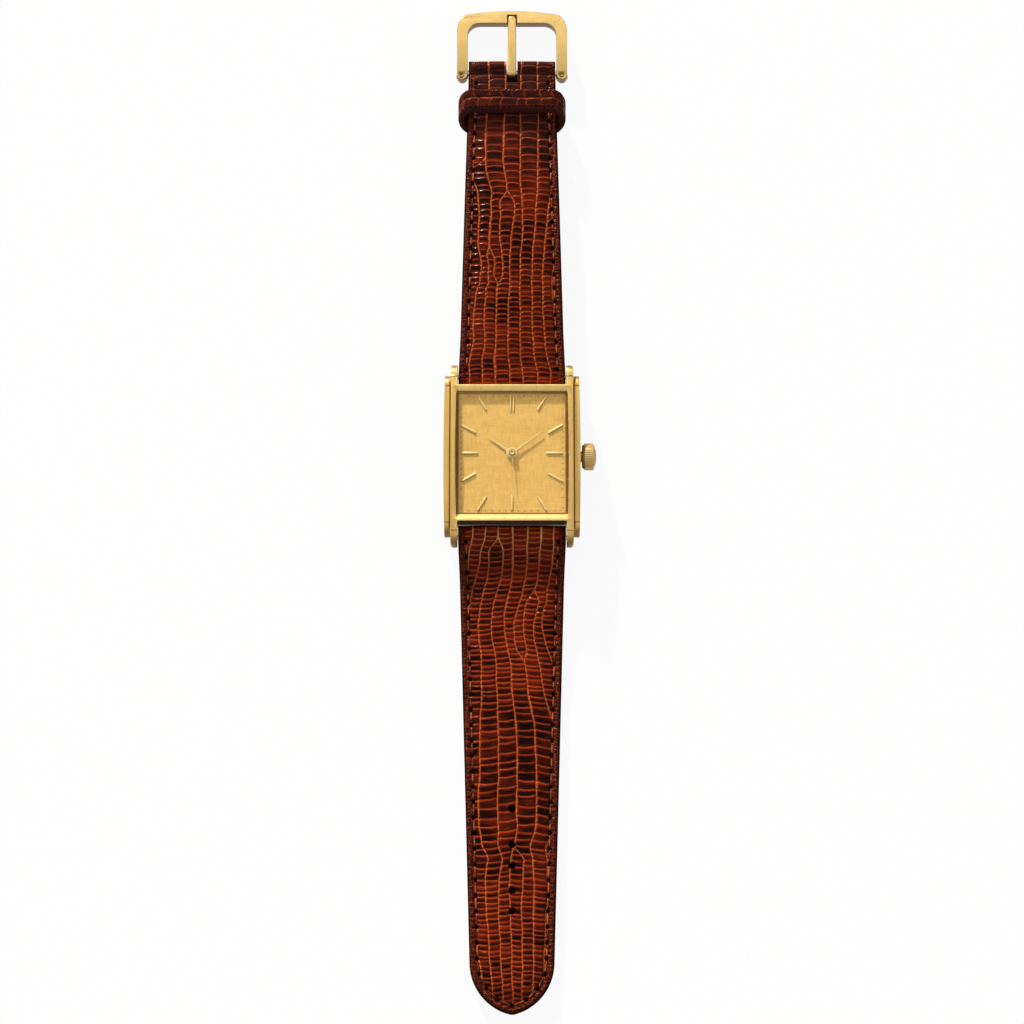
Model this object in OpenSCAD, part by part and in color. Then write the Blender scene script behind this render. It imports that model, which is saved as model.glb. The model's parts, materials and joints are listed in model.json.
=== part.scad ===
// Rectangular dress watch with a hand-wound movement, leather strap and pin buckle.
// Millimetres. The origin is the middle of the case back's resting face,
// +X points to the crown, +Y to twelve o'clock and +Z to the dial.

/* [Case] */
// Gap between the lugs
lug_gap = 20.1; // [19.9:0.1:22]
// Width of the bar that runs from lug to lug
bar_w = 1.25; // [1.2:0.05:1.8]
// Width of the lower flank outside the bar
flank_w = 1.33; // [1.2:0.05:2]
// Bulge of the flank's outer side at mid length
flank_bulge = 0.22; // [0.05:0.01:0.3]
// Reach of the lugs past the bezel
lug_reach = 4.35; // [4.2:0.05:5.2]
// Distance of the flanks' ends from the lugs' ends
flank_set = 2.0; // [1.5:0.05:2.2]
// Wall of the bezel beyond the cavity's ends
bezel_wall = 1.1; // [1:0.05:1.3]
// Height of the bezel over the table
case_top = 6.8; // [6.6:0.05:7.2]
// Radius of the arc along the case's top
top_r = 120; // [100:1:160]
// Rounding of the lugs' tips, seen from above
lug_tip_r = 0.9; // [0.5:0.05:1.1]
// Height of the lugs' underside
lug_bottom = 0.6; // [0.4:0.05:0.7]
// Drop from the bar's top to the flank's top
flank_drop = 0.8; // [0.5:0.05:1.1]
// Width of the fine groove between bar and flank
groove_w = 0.22; // [0.1:0.02:0.4]
// Depth of that groove below the flank's top
groove_d = 0.35; // [0.2:0.05:0.5]
// Thickness of the case back
back_t = 0.75; // [0.6:0.05:0.8]
// Overhang of the case back round the cavity
back_over = 0.55; // [0.4:0.05:0.6]

/* [Crystal and dial] */
// Overhang of the dial opening past the lug gap
opening_over = 0.16; // [0.1:0.02:0.3]
// Length of the dial opening
opening_len = 23.4; // [23.2:0.05:23.6]
// Width of the bevel inside the bezel's ends
bevel_end = 0.8; // [0.5:0.05:0.9]
// Width of the bevel inside the side bars
bevel_side = 0.35; // [0.2:0.05:0.5]
// Height of the bevel's lower edge over the ledge
bevel_over = 0.2; // [0.15:0.05:0.3]
// Ledge that the crystal's gasket sits on
ledge_w = 0.3; // [0.25:0.05:0.5]
// Height of the ledge's top over the dial
ledge_h = 0.3; // [0.2:0.05:0.35]
// Thickness of the crystal's gasket
crystal_gasket_t = 0.1; // [0.05:0.01:0.15]
// Wall of the box-shaped crystal
crystal_wall = 0.65; // [0.5:0.05:0.8]
// Thickness of the crystal's dome
crystal_t = 0.6; // [0.5:0.05:0.6]
// Rise of the crystal over the bezel
crystal_rise = 0.3; // [0.2:0.05:0.6]
// Height of the dial's face over the table
dial_top = 5.3; // [5.3:0.02:5.34]
// Thickness of the dial
dial_t = 0.4; // [0.3:0.05:0.42]
// Length of an hour marker
marker_len = 3.05; // [2.5:0.05:3.2]
// Width of an hour marker
marker_w = 0.45; // [0.3:0.05:0.6]
// Height of an hour marker
marker_h = 0.22; // [0.15:0.01:0.24]
// Distance of the markers' outer ends from the dial opening's edge
marker_inset = 0.8; // [0.6:0.05:1.4]

/* [Hands] */
// Length of the hour hand
hour_len = 5.0; // [4:0.1:5.8]
// Length of the minute hand
minute_len = 6.9; // [6:0.1:8]
// Length of the seconds hand
seconds_len = 6.8; // [6:0.1:9]
// Thickness of the hour and minute hands
hand_t = 0.1; // [0.06:0.01:0.12]
// Clear height between one hand and the next
hand_gap = 0.1; // [0.09:0.01:0.11]
// Angle of the minute hand past twelve
minute_angle = 54; // [0:1:359]
// Angle of the seconds hand past twelve
seconds_angle = 176; // [0:1:359]

/* [Movement] */
// Width of the main plate
plate_w = 18.8; // [18.6:0.1:19.2]
// Length of the main plate
plate_len = 22; // [21.9:0.1:22.6]
// Gap round the main plate that the movement ring fills
ring_gap = 0.9; // [0.8:0.05:1.2]
// Height of the bridges' outer face
bridge_z = 1.05; // [1:0.01:1.07]
// Thickness of the bridges
bridge_t = 0.8; // [0.78:0.01:0.8]
// Height of the main plate's dial side
plate_top = 4.25; // [4.2:0.05:4.4]
// Radius of a bridge screw's head
screw_head_r = 0.65; // [0.5:0.05:0.8]
// Radius of a bridge screw's shank
screw_shank_r = 0.35; // [0.2:0.05:0.4]

/* [Going train] */
// Distance from the centre to the third wheel
third_c = 4.1; // [4.08:0.01:4.15]
// Direction of the third wheel
third_dir = 205; // [203:1:207]
// Distance from the centre to the escape wheel
escape_c = 4.15; // [4.12:0.01:4.18]
// Direction of the escape wheel
escape_dir = 310; // [309:1:311]
// Distance from the centre to the barrel
barrel_c = 4.84; // [4.8:0.01:4.88]
// Direction of the barrel
barrel_dir = 71.8; // [71:0.2:73]
// Radius of the barrel's drum
drum_r = 4.0; // [3.8:0.05:4.02]
// Thickness of the wheels
wheel_t = 0.14; // [0.1:0.01:0.15]
// Teeth of the centre wheel
centre_n = 64; // [56:8:72]
// Leaves of the third pinion
third_leaves = 8; // [8:1:9]
// Teeth of the third wheel
third_n = 60; // [52:4:64]
// Leaves of the fourth pinion
fourth_leaves = 8; // [8:1:9]
// Teeth of the fourth wheel
fourth_n = 70; // [63:7:77]
// Leaves of the escape pinion
escape_leaves = 7; // [7:1:8]
// Teeth of the barrel
barrel_n = 70; // [66:1:76]
// Leaves of the centre pinion
centre_leaves = 10; // [9:1:11]

/* [Escapement] */
// Radius of the escape wheel
escape_r = 2.0; // [1.9:0.02:2.02]
// Teeth of the escape wheel
escape_n = 15; // [12:1:16]
// Distance from the pallet fork to the balance
balance_c = 2.9; // [2.86:0.01:2.95]
// Radius of the balance
balance_r = 3.05; // [2.9:0.05:3.1]
// Turns of the hairspring
hairspring_turns = 9; // [6:1:11]
// Turns of the mainspring
mainspring_turns = 8; // [5:1:9]

/* [Winding and setting] */
// Teeth of the ratchet wheel
ratchet_n = 54; // [50:1:58]
// Teeth of the crown wheel
crown_wheel_n = 36; // [34:1:38]
// Distance from the centre to the crown wheel
crown_wheel_x = 4.1; // [4.05:0.01:4.12]
// Teeth of the winding pinion
winding_n = 24; // [23:1:25]
// Distance from the centre to the minute wheel
minute_c = 2.4; // [2.38:0.01:2.42]
// Distance from the minute wheel to the setting wheel
setting_c = 2.8; // [2.78:0.01:2.82]
// Distance from the centre to the setting wheel
setting_x = 2.95; // [2.93:0.01:2.97]
// Travel of the crown when it is pulled out
crown_travel = 0.8; // [0.6:0.05:0.85]

/* [Crown] */
// Radius of the crown
crown_r = 2.5; // [2.3:0.05:2.5]
// Length of the crown
crown_len = 2.68; // [2.4:0.02:3]
// Flutes round the crown
crown_flutes = 44; // [30:2:52]
// Gap between case and crown
crown_gap = 0.3; // [0.2:0.05:0.5]
// Radius of the stem
stem_r = 0.5; // [0.46:0.01:0.51]
// Height of the stem over the table
stem_z = 2.65; // [2.65:0.01:2.68]

/* [Strap] */
// Gap between the strap and each lug or buckle leg
strap_play = 0.25; // [0.2:0.05:0.5]
// Width of the long strap near its tip
strap_tail_w = 15.2; // [14:0.1:16.4]
// Distance of the tip from the spring bar
tail_len = 86.85; // [80:0.5:95]
// Radius of each side of the pointed tip
tip_r = 9.5; // [8:0.5:14]
// Thickness of the padded lug end
strap_lug_t = 3.4; // [3:0.1:3.5]
// Thickness of the thin part
strap_end_t = 2.3; // [2:0.1:2.4]
// Thickness of the lining leather
lining_t = 0.9; // [0.6:0.1:1]
// Rise of the short strap's arch
arch = 1.95; // [1.85:0.05:2.4]
// Diameter of the buckle holes
hole_d = 1.3; // [1:0.1:1.6]
// Distance of the spring bar from the lug's end
bar_inset = 2.0; // [1.8:0.05:2.05]
// Radius of a spring bar's tube
spring_bar_r = 0.75; // [0.6:0.05:0.8]
// Radius of a spring bar's tip
spring_tip_r = 0.4; // [0.3:0.05:0.45]

/* [Keeper] */
// Reach of the keeper past each side of the strap's buckle end
keeper_side = 2.0; // [1.6:0.1:2.8]
// Outer height of the keeper
keeper_h = 5.3; // [5.2:0.05:6]
// Thickness of the keeper's leather
keeper_t = 1.1; // [0.8:0.05:1.1]
// Length of the keeper along the strap
keeper_len = 4.0; // [3:0.1:4.2]
// Lean of the keeper's top towards the buckle
keeper_lean = 3.6; // [2:0.1:3.8]
// Distance of the keeper's foot from the buckle bar
keeper_back = 12.0; // [11.9:0.1:14]

/* [Buckle] */
// Distance from spring bar to buckle bar
strap_len = 60.65; // [56:0.5:66]
// Outer width of the buckle
buckle_w = 21.0; // [20.8:0.1:22]
// Width of the buckle's legs
leg_w = 2.05; // [1.8:0.05:2.2]
// Reach of the buckle past its bar
buckle_reach = 12.5; // [12:0.1:13.5]
// Reach of the legs behind the bar
leg_back = 1.45; // [1.4:0.05:1.8]
// Depth of the buckle's cross bar
cross_d = 2.7; // [2.2:0.1:2.9]
// Thickness of the buckle
buckle_t = 2.1; // [1.8:0.05:2.2]
// Radius of the buckle's curve over the wrist
buckle_curve = 22.6; // [20:0.2:30]
// Width of the tongue
tongue_w = 1.6; // [1.2:0.05:1.7]
// Radius of the dimple in each buckle leg
dimple_r = 0.4; // [0.3:0.05:0.5]
// Radius of the buckle bar
buckle_bar_r = 0.6; // [0.5:0.05:0.7]

/* [Hidden] */
$fn = 64;
arc_fn = 720; // sides of a very large circle

gold = [0.91, 0.77, 0.44];
steel = [0.75, 0.76, 0.78];
brass = [0.80, 0.66, 0.32];
nickel = [0.82, 0.80, 0.74];
ruby = [0.75, 0.08, 0.25];
leather = [0.36, 0.13, 0.06];
lining_colour = [0.55, 0.36, 0.22];

// Clearances
fit = 0.02; // a shaft turning in its hole
slack = 0.05; // a part lying in its recess
far = 60; // longer than any cut needs to be

// Case
bar_in = lug_gap / 2;
bar_out = bar_in + bar_w;
case_half = bar_out + flank_w;
opening_w = lug_gap + opening_over;
seat_w = 0.2; // ledge that the dial's edge lies under
cavity_w = max(opening_w + 2 * seat_w, plate_w + 2 * ring_gap);
cavity_len = max(opening_len + 2 * seat_w, plate_len + 2 * ring_gap);
bezel_len = cavity_len + 2 * bezel_wall;
lug_len = bezel_len + 2 * lug_reach;
flank_len = lug_len - 2 * flank_set;
bar_y = lug_len / 2 - bar_inset;
bar_z = 2.6;
ledge_z = dial_top + ledge_h;
bevel_z = ledge_z + bevel_over;
crystal_z = ledge_z + crystal_gasket_t;
crystal_top = case_top + crystal_rise;
back_lip_h = 0.35;
lip_w = 0.5;
gasket_w = 0.36;

// Crown
crown_x = case_half + crown_gap;
tube_end = crown_x + 0.7;
tube_r = 1.0;
tube_bore = stem_r + 0.1;
crown_cavity_r = 1.4;

// Teeth: reach outside and inside the pitch circle in modules, then the half widths
// at the pitch circle and at the tip as shares of half a pitch
wheel_form = [0.9, 1.3, 0.42, 0.1];
leaf_form = [0.6, 1.5, 0.38, 0.15];

// Levels of the train, each the lower side of a piece
plate_z = bridge_z + bridge_t;
recess_z = bridge_z + 0.29;
winding_z = bridge_z + 0.07;
winding_t = 0.18;
fourth_z = plate_z + 0.07;
third_z = plate_z + 0.25;
drum_z = plate_z + 0.25;
drum_h = 0.75;
barrel_teeth_z = drum_z + 0.45;
centre_z = plate_z + 1.05;
escape_z = plate_z + 0.53;
pallet_bridge_z = plate_z + 0.27;
pallet_bridge_t = 0.2;
balance_z = plate_z - 0.1;
balance_t = 0.3;
hairspring_z = plate_z - 0.35;
hairspring_h = 0.12;
roller_z = plate_z + 0.3;
cock_t = 0.35;
deep_z = escape_z + wheel_t + 0.1;
centre_floor = plate_z + 1.3;
motion_floor = plate_top - 0.45;
setting_floor = plate_top - 0.8;
cannon_z = motion_floor + 0.05;
minute_wheel_z = motion_floor + 0.1;
minute_pinion_z = plate_top;
hour_wheel_z = plate_top + 0.1;
setting_z = setting_floor + 0.05;
lever_floor = plate_top - 0.97;
lever_z = lever_floor + 0.02;
lever_t = 0.25;
hour_hand_z = dial_top + marker_h / 2 + 0.01;
minute_hand_z = hour_hand_z + hand_t + hand_gap + 0.01;
seconds_hand_z = minute_hand_z + hand_t + hand_gap;
seconds_t = 0.06;
hour_hand_h = hand_t + 0.03;
seconds_hub_h = 0.24;

// Modules from centre distances
third_m = 2 * third_c / (centre_n + third_leaves);
fourth_m = 2 * third_c / (third_n + fourth_leaves);
escape_m = 2 * escape_c / (fourth_n + escape_leaves);
barrel_m = 2 * barrel_c / (barrel_n + centre_leaves);
cannon_leaves = 12;
minute_n = 36;
minute_leaves = 10;
hour_n = 40;
setting_n = 20;
cannon_m = 2 * minute_c / (cannon_leaves + minute_n);
hour_m = 2 * minute_c / (minute_leaves + hour_n);
setting_m = cannon_m;
function polar(r, a) = [r * cos(a), r * sin(a)];
function direction(p, q) = atan2(q[1] - p[1], q[0] - p[0]);
centre = [0, 0];
barrel_p = polar(barrel_c, barrel_dir);
third_p = polar(third_c, third_dir);
escape_p = polar(escape_c, escape_dir);
crown_wheel_p = [crown_wheel_x, 0];
ratchet_c = norm(barrel_p - crown_wheel_p);
ratchet_m = 2 * ratchet_c / (ratchet_n + crown_wheel_n);
crown_wheel_r = ratchet_m * crown_wheel_n / 2;
winding_m = 2 * crown_wheel_r / crown_wheel_n;
winding_r = winding_m * winding_n / 2;
// The escape wheel, fork and balance stand in one line
lever_line = escape_dir - 70;
fork_c = escape_r / cos(30);
fork_p = escape_p + polar(fork_c, lever_line);
balance_p = fork_p + polar(balance_c, lever_line);
// The setting wheel stands on the stem's line, the minute wheel above it
minute_px = (minute_c * minute_c - setting_c * setting_c + setting_x * setting_x) / (2 * setting_x);
minute_p = [minute_px, sqrt(minute_c * minute_c - minute_px * minute_px)];
setting_p = [setting_x, 0];

// Outer radii of the wheels
function tip_radius(n, m, form) = m * (n / 2 + form[0]);
centre_tip = tip_radius(centre_n, third_m, wheel_form);
third_tip = tip_radius(third_n, fourth_m, wheel_form);
fourth_tip = tip_radius(fourth_n, escape_m, wheel_form);
barrel_tip = tip_radius(barrel_n, barrel_m, wheel_form);
ratchet_tip = tip_radius(ratchet_n, ratchet_m, wheel_form);
crown_wheel_tip = tip_radius(crown_wheel_n, ratchet_m, wheel_form);
minute_tip = tip_radius(minute_n, cannon_m, wheel_form);
setting_tip = setting_m * (setting_n / 2 + wheel_form[0]);
winding_tip = winding_r + 0.6 * winding_m;

// Turn of wheel 2 that meshes with wheel 1, seen in the direction from 1 to 2
function mesh_turn(n1, turn1, n2, dir) = dir + 180 + 180 / n2 - n1 / n2 * (turn1 - dir);
third_turn = mesh_turn(centre_n, 0, third_leaves, third_dir);
fourth_turn = mesh_turn(third_n, 0, fourth_leaves, third_dir + 180);
escape_turn = mesh_turn(fourth_n, 0, escape_leaves, escape_dir);
centre_turn = mesh_turn(barrel_n, 0, centre_leaves, barrel_dir + 180);
minute_dir = direction(centre, minute_p);
minute_turn = mesh_turn(cannon_leaves, 0, minute_n, minute_dir);
hour_turn = mesh_turn(minute_leaves, 0, hour_n, minute_dir + 180);
setting_turn = mesh_turn(minute_n, minute_turn, setting_n, direction(minute_p, setting_p));
crown_wheel_turn = mesh_turn(ratchet_n, 0, crown_wheel_n, direction(barrel_p, crown_wheel_p));
// The winding pinion's gap faces the crown wheel's tooth nearest to the stem
crown_wheel_pitch = 360 / crown_wheel_n;
near_tooth = crown_wheel_turn - crown_wheel_pitch * round(crown_wheel_turn / crown_wheel_pitch);
winding_turn = 180 + near_tooth * crown_wheel_n / winding_n + 180 / winding_n;

// Stem, from its pilot to the crown
pilot_x = 3.85;
square_x = 4.5;
winding_x = crown_wheel_x + crown_wheel_r - 1.3 * ratchet_m + 0.17;
sliding_x = setting_x + setting_tip + crown_travel * 0.75 + 0.06;
claw_d = 0.3;
sliding_end = winding_x - 0.12;
round_x = winding_x - 0.02;
winding_end = winding_x + 0.88;
groove_x = winding_end + 0.15;
groove_len = 0.45;
square_w = 0.7;
sliding_r = 0.95;
claw_n = 10;
yoke_x = (sliding_x + sliding_end) / 2;
yoke_p = [yoke_x - crown_travel * 0.375, -3.3];
lever_p = [groove_x + groove_len / 2 + crown_travel / 2, -2.2];

// Strap
strap_w = lug_gap - 2 * strap_play;
strap_buckle_w = buckle_w - 2 * leg_w - 2 * strap_play;
strap_hole = spring_bar_r + 0.05;
buckle_y = bar_y + strap_len;
buckle_z = 1.62;
buckle_hole = buckle_bar_r + 0.05;
strap_end_y = buckle_y + 2.4;
strap_end_r = strap_end_t / 2 + 0.25;
lining_start = 4.2;
pad_len = 30;
// Distances of the buckle holes from the spring bar, as punched
hole_places = [50.2, 56.6, 60.4, 64.9, 68.5];
settle_len = 15;
notch_w = tongue_w + 0.5;
tongue_ring_r = 1.1;
notch_y = buckle_y - tongue_ring_r - 0.5;
slot_slope = 34;
curve_p = [buckle_y + 5.5, buckle_z - sqrt(buckle_curve * buckle_curve - 5.5 * 5.5)];
buckle_end = buckle_y + buckle_reach;
keeper_w = strap_buckle_w + 2 * keeper_side;
keeper_y = buckle_y - keeper_back;
keeper_z = 0.1;

// Bridges: the line between the two, the train bridge's lower edge and its arm towards the crown
bridge_set = 0.2; // setback from the main plate's edge
split_y = 0.9;
train_y = -4.4;
train_x = 1.5;
arm_y = -2.8;
arm_end = 9.0;
// Plan positions of the bridge screws
bridge_screw_p = [
    [-8.3, 2.2], [-8.3, 9.6], [8.2, 9.6], [8.2, -1.6], [-8.3, -0.4], [-8.3, -3.6],
    [7.6, -3.6], [-7.9, -8.3]
];
pallet_land = [-0.2, -4.12];
pallet_screw_p = [4.0, -6.25];
cover_screw_p = [6.35, -3.1];
click_p = [-2.2, 7.6];
click_nose = barrel_p + polar(ratchet_tip + 0.05, 118);

module at(p, z = 0) {
    translate([p[0], p[1], z]) children();
}

// A disc or post standing at p from z0 to z1
module post(p, r, z0, z1) {
    at(p, z0) cylinder(r = r, h = z1 - z0);
}

// A box centred on the origin in plan
module slab(w, len, z0, z1) {
    translate([-w / 2, -len / 2, z0]) cube([w, len, z1 - z0]);
}

// Takes a (Y, Z) outline and extrudes it along X
module across(x0, x1) {
    translate([x0, 0, 0]) rotate([90, 0, 90]) linear_extrude(x1 - x0) children();
}

// A round piece along X at the stem's height
module along_stem(x0, x1, r) {
    translate([x0, 0, stem_z]) rotate([0, 90, 0]) cylinder(r = r, h = x1 - x0);
}

module rounded(w, len, r) {
    square([w - 2 * r, len], center = true);
    square([w, len - 2 * r], center = true);
    for (sx = [-1, 1], sy = [-1, 1]) {
        translate([sx * (w / 2 - r), sy * (len / 2 - r)]) circle(r = r);
    }
}

module frame_ring(w, len, wall, z0, z1) {
    difference() {
        slab(w, len, z0, z1);
        slab(w - 2 * wall, len - 2 * wall, z0 - 1, z1 + 1);
    }
}

// Points round a toothed wheel: straight flanks below the pitch circle, pointed above it
function teeth(n, m, form, turn) = [
    for (i = [0:n - 1])
        for (p = [[-form[1], -form[2]], [0, -form[2]], [form[0], -form[3]],
                  [form[0], form[3]], [0, form[2]], [-form[1], form[2]]])
            polar(m * (n / 2 + p[0]), turn + (360 * i + 180 * p[1]) / n)
];

module toothed(n, m, form, turn, h, bore = 0) {
    linear_extrude(h) difference() {
        polygon(teeth(n, m, form, turn));
        if (bore > 0) circle(r = bore);
    }
}

// A wheel with its web cut away between arms
module spoked(n, m, form, turn, h, bore, arms) {
    rim_r = m * (n / 2 - form[1]) - 0.35;
    linear_extrude(h) difference() {
        polygon(teeth(n, m, form, turn));
        circle(r = bore);
        difference() {
            circle(r = rim_r);
            circle(r = rim_r * 0.28);
            for (i = [0:arms - 1]) {
                rotate(360 * i / arms) translate([0, -0.17]) square([rim_r + 1, 0.34]);
            }
        }
    }
}

// Height of the case's top arc at y, lowered by drop
function arc_z(y, drop) = case_top - drop - top_r + sqrt(top_r * top_r - y * y);
// Radius of a bar's rounded end that meets the top arc
function end_r(half, drop) =
    let (r0 = (arc_z(half - 2, drop) - lug_bottom) / 2)
    (arc_z(half - r0, drop) - lug_bottom) / 2;

module side_outline(half, drop) {
    r = end_r(half, drop);
    intersection() {
        union() {
            translate([r - half, lug_bottom]) square([2 * (half - r), case_top]);
            for (s = [-1, 1]) {
                translate([s * (half - r), lug_bottom + r]) circle(r = r);
            }
        }
        translate([0, case_top - drop - top_r]) circle(r = top_r, $fn = arc_fn);
    }
}

// Plan of one flank, bulging outwards at mid length
module flank_plan() {
    steps = 20;
    side = [for (i = [0:steps]) let (u = 2 * i / steps - 1) [case_half - flank_bulge * u * u, u * (flank_len / 2 + 0.1)]];
    polygon(concat([[0, -flank_len / 2 - 0.1]], side, [[0, flank_len / 2 + 0.1]]));
}

// Cut that widens upwards from (half, bevel_z) to (half + run, z)
module widening(half, run, z) {
    grow = run / (z - bevel_z) * (case_top + 1 - bevel_z);
    polygon([[-half, bevel_z], [half, bevel_z], [half + grow, case_top + 1], [-half - grow, case_top + 1]]);
}

// Bevel round the dial opening, mitred at the corners
module bezel_bevel() {
    edge_y = opening_len / 2;
    intersection() {
        across(-far, far) widening(edge_y, bevel_end, arc_z(edge_y + bevel_end, 0));
        translate([0, far, 0]) rotate([90, 0, 0]) linear_extrude(2 * far)
            widening(opening_w / 2, bevel_side, case_top);
    }
}

module middle_case() {
    lug_cut = lug_len / 2 - bezel_len / 2 + 1;
    color(gold) difference() {
        union() {
            intersection() {
                across(-bar_out, bar_out) side_outline(lug_len / 2, 0);
                linear_extrude(far) rounded(2 * bar_out, lug_len, lug_tip_r);
            }
            for (s = [0, 1]) {
                mirror([s, 0, 0]) intersection() {
                    across(bar_out - 0.4, case_half + 1) side_outline(flank_len / 2, flank_drop);
                    linear_extrude(far) flank_plan();
                }
            }
        }
        // Openings between the lugs
        for (s = [0, 1]) {
            mirror([0, s, 0]) translate([-bar_in, bezel_len / 2, 0]) cube([2 * bar_in, lug_cut, far]);
        }
        slab(2 * bar_in, lug_len, 0, back_t);
        // Cavity, seat of the case back and dial opening
        slab(cavity_w, cavity_len, 0, dial_top);
        slab(cavity_w + 2 * back_over + 0.1, cavity_len + 2 * back_over - 0.1, 0, back_t);
        slab(opening_w - 2 * ledge_w, opening_len - 2 * ledge_w, 1, far);
        slab(opening_w, opening_len, ledge_z, far);
        bezel_bevel();
        // Fine groove between bar and flank
        for (s = [0, 1]) {
            mirror([s, 0, 0]) across(bar_out, bar_out + groove_w) difference() {
                translate([-lug_len, 1]) square([2 * lug_len, 10]);
                translate([0, case_top - flank_drop - groove_d - top_r]) circle(r = top_r, $fn = arc_fn);
            }
        }
        along_stem(cavity_w / 2 - 1, case_half + 1, tube_r);
        for (s = [-1, 1]) {
            translate([-bar_in - 0.95, s * bar_y, bar_z]) rotate([0, 90, 0])
                cylinder(r = spring_tip_r + 0.03, h = 2 * bar_in + 1.9);
        }
    }
}

module case_back() {
    lip_half = gasket_w + 0.04;
    color(gold) {
        linear_extrude(back_t) rounded(cavity_w + 2 * back_over, cavity_len + 2 * back_over - 0.2, 0.5);
        frame_ring(cavity_w - 2 * lip_half, cavity_len - 2 * lip_half, lip_w, back_t, back_t + back_lip_h);
    }
}

module back_gasket() {
    color("black") frame_ring(cavity_w - 0.04, cavity_len - 0.04, gasket_w, back_t, back_t + 0.3);
}

module crystal() {
    color([0.9, 0.95, 1, 0.35]) difference() {
        intersection() {
            slab(opening_w - 0.1, opening_len - 0.1, crystal_z, far);
            across(-far, far) translate([0, crystal_top - top_r]) circle(r = top_r, $fn = arc_fn);
        }
        intersection() {
            slab(opening_w - 0.1 - 2 * crystal_wall, opening_len - 0.1 - 2 * crystal_wall, 0, far);
            across(-far, far) translate([0, crystal_top - crystal_t - top_r]) circle(r = top_r, $fn = arc_fn);
        }
    }
}

module crystal_gasket() {
    color("black") frame_ring(opening_w - 0.1, opening_len - 0.1, ledge_w - 0.05, ledge_z, crystal_z);
}

module movement_ring() {
    color(brass) difference() {
        slab(cavity_w - 0.1, cavity_len - 0.1, back_t + back_lip_h + 0.05, dial_top - dial_t);
        slab(plate_w + 0.1, plate_len + 0.1, 0, far);
        along_stem(plate_w / 2 - 1, far, stem_r + 0.2);
    }
}

module crown_tube() {
    color(gold) difference() {
        along_stem(cavity_w / 2, tube_end, tube_r);
        along_stem(0, far, tube_bore);
    }
}

dial_foot_p = [[-8.0, 9.3], [8.0, -9.3]];

module dial() {
    color([0.90, 0.74, 0.40]) {
        difference() {
            slab(cavity_w - 0.1, cavity_len - 0.1, dial_top - dial_t, dial_top);
            post(centre, 0.85, 0, far);
        }
        for (p = dial_foot_p) post(p, 0.35, plate_top - 0.8, dial_top - dial_t);
    }
}

// One marker lying along +Y from the origin, with a roof-shaped top
module baton(w, len, h) {
    rotate([-90, 0, 0]) mirror([0, 1, 0]) linear_extrude(len)
        polygon([[-w / 2, 0], [w / 2, 0], [w / 2, h / 2], [0, h], [-w / 2, h / 2]]);
}

module hour_markers() {
    half_w = opening_w / 2 - marker_inset;
    half_len = opening_len / 2 - marker_inset;
    pair_w = marker_w * 0.67;
    color(gold) {
        for (hour = [1:11]) {
            a = 30 * hour;
            reach = min(half_w / max(abs(sin(a)), 0.01), half_len / max(abs(cos(a)), 0.01));
            rotate(-a) translate([0, reach - marker_len, dial_top]) baton(marker_w, marker_len, marker_h);
        }
        for (s = [-1, 1]) {
            translate([s * pair_w, half_len - marker_len, dial_top]) baton(pair_w, marker_len, marker_h);
        }
    }
}

// Plan outlines of the bridges
module barrel_bridge_plan() {
    edge_x = plate_w / 2 - bridge_set;
    translate([-edge_x, split_y + slack]) square([2 * edge_x, plate_len / 2 - bridge_set - split_y]);
    translate([crown_wheel_x, arm_y + slack]) square([edge_x - crown_wheel_x, split_y - arm_y + 0.2]);
    at(crown_wheel_p) circle(r = crown_wheel_tip + 0.4);
}

module train_bridge_plan() {
    difference() {
        union() {
            translate([bridge_set - plate_w / 2, train_y])
                square([plate_w / 2 - bridge_set + train_x, split_y - slack - train_y]);
            translate([train_x - 0.1, train_y]) square([arm_end - train_x, arm_y - slack - train_y]);
            at(escape_p) circle(r = 0.9);
        }
        at(crown_wheel_p) circle(r = crown_wheel_tip + 0.5);
        at(balance_p) circle(r = balance_r + 0.25);
    }
}

module pallet_bridge_plan(grow) {
    run = pallet_screw_p - pallet_land;
    at(pallet_land) circle(r = 0.35 + grow);
    at(pallet_screw_p) circle(r = 0.9 + grow);
    at(fork_p) circle(r = 0.6 + grow);
    at(pallet_land) rotate(atan2(run[1], run[0]))
        translate([0, -0.35 - grow]) square([norm(run), 0.7 + 2 * grow]);
}

jewel_r = 0.35;
pivot_r = 0.07;
jewel_h = 0.22;
barrel_bore = 0.52;

module stem_slots() {
    translate([sliding_x - crown_travel * 0.75 - 0.05, -sliding_r - 0.1, stem_z - sliding_r - 0.1])
        cube([winding_end - sliding_x + crown_travel * 0.75 + 0.1, 2 * sliding_r + 0.2, far]);
    translate([winding_x - claw_d - 0.05, -winding_tip - 0.1, 0])
        cube([winding_end - winding_x + claw_d + 0.1, 2 * winding_tip + 0.2, far]);
}

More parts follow.
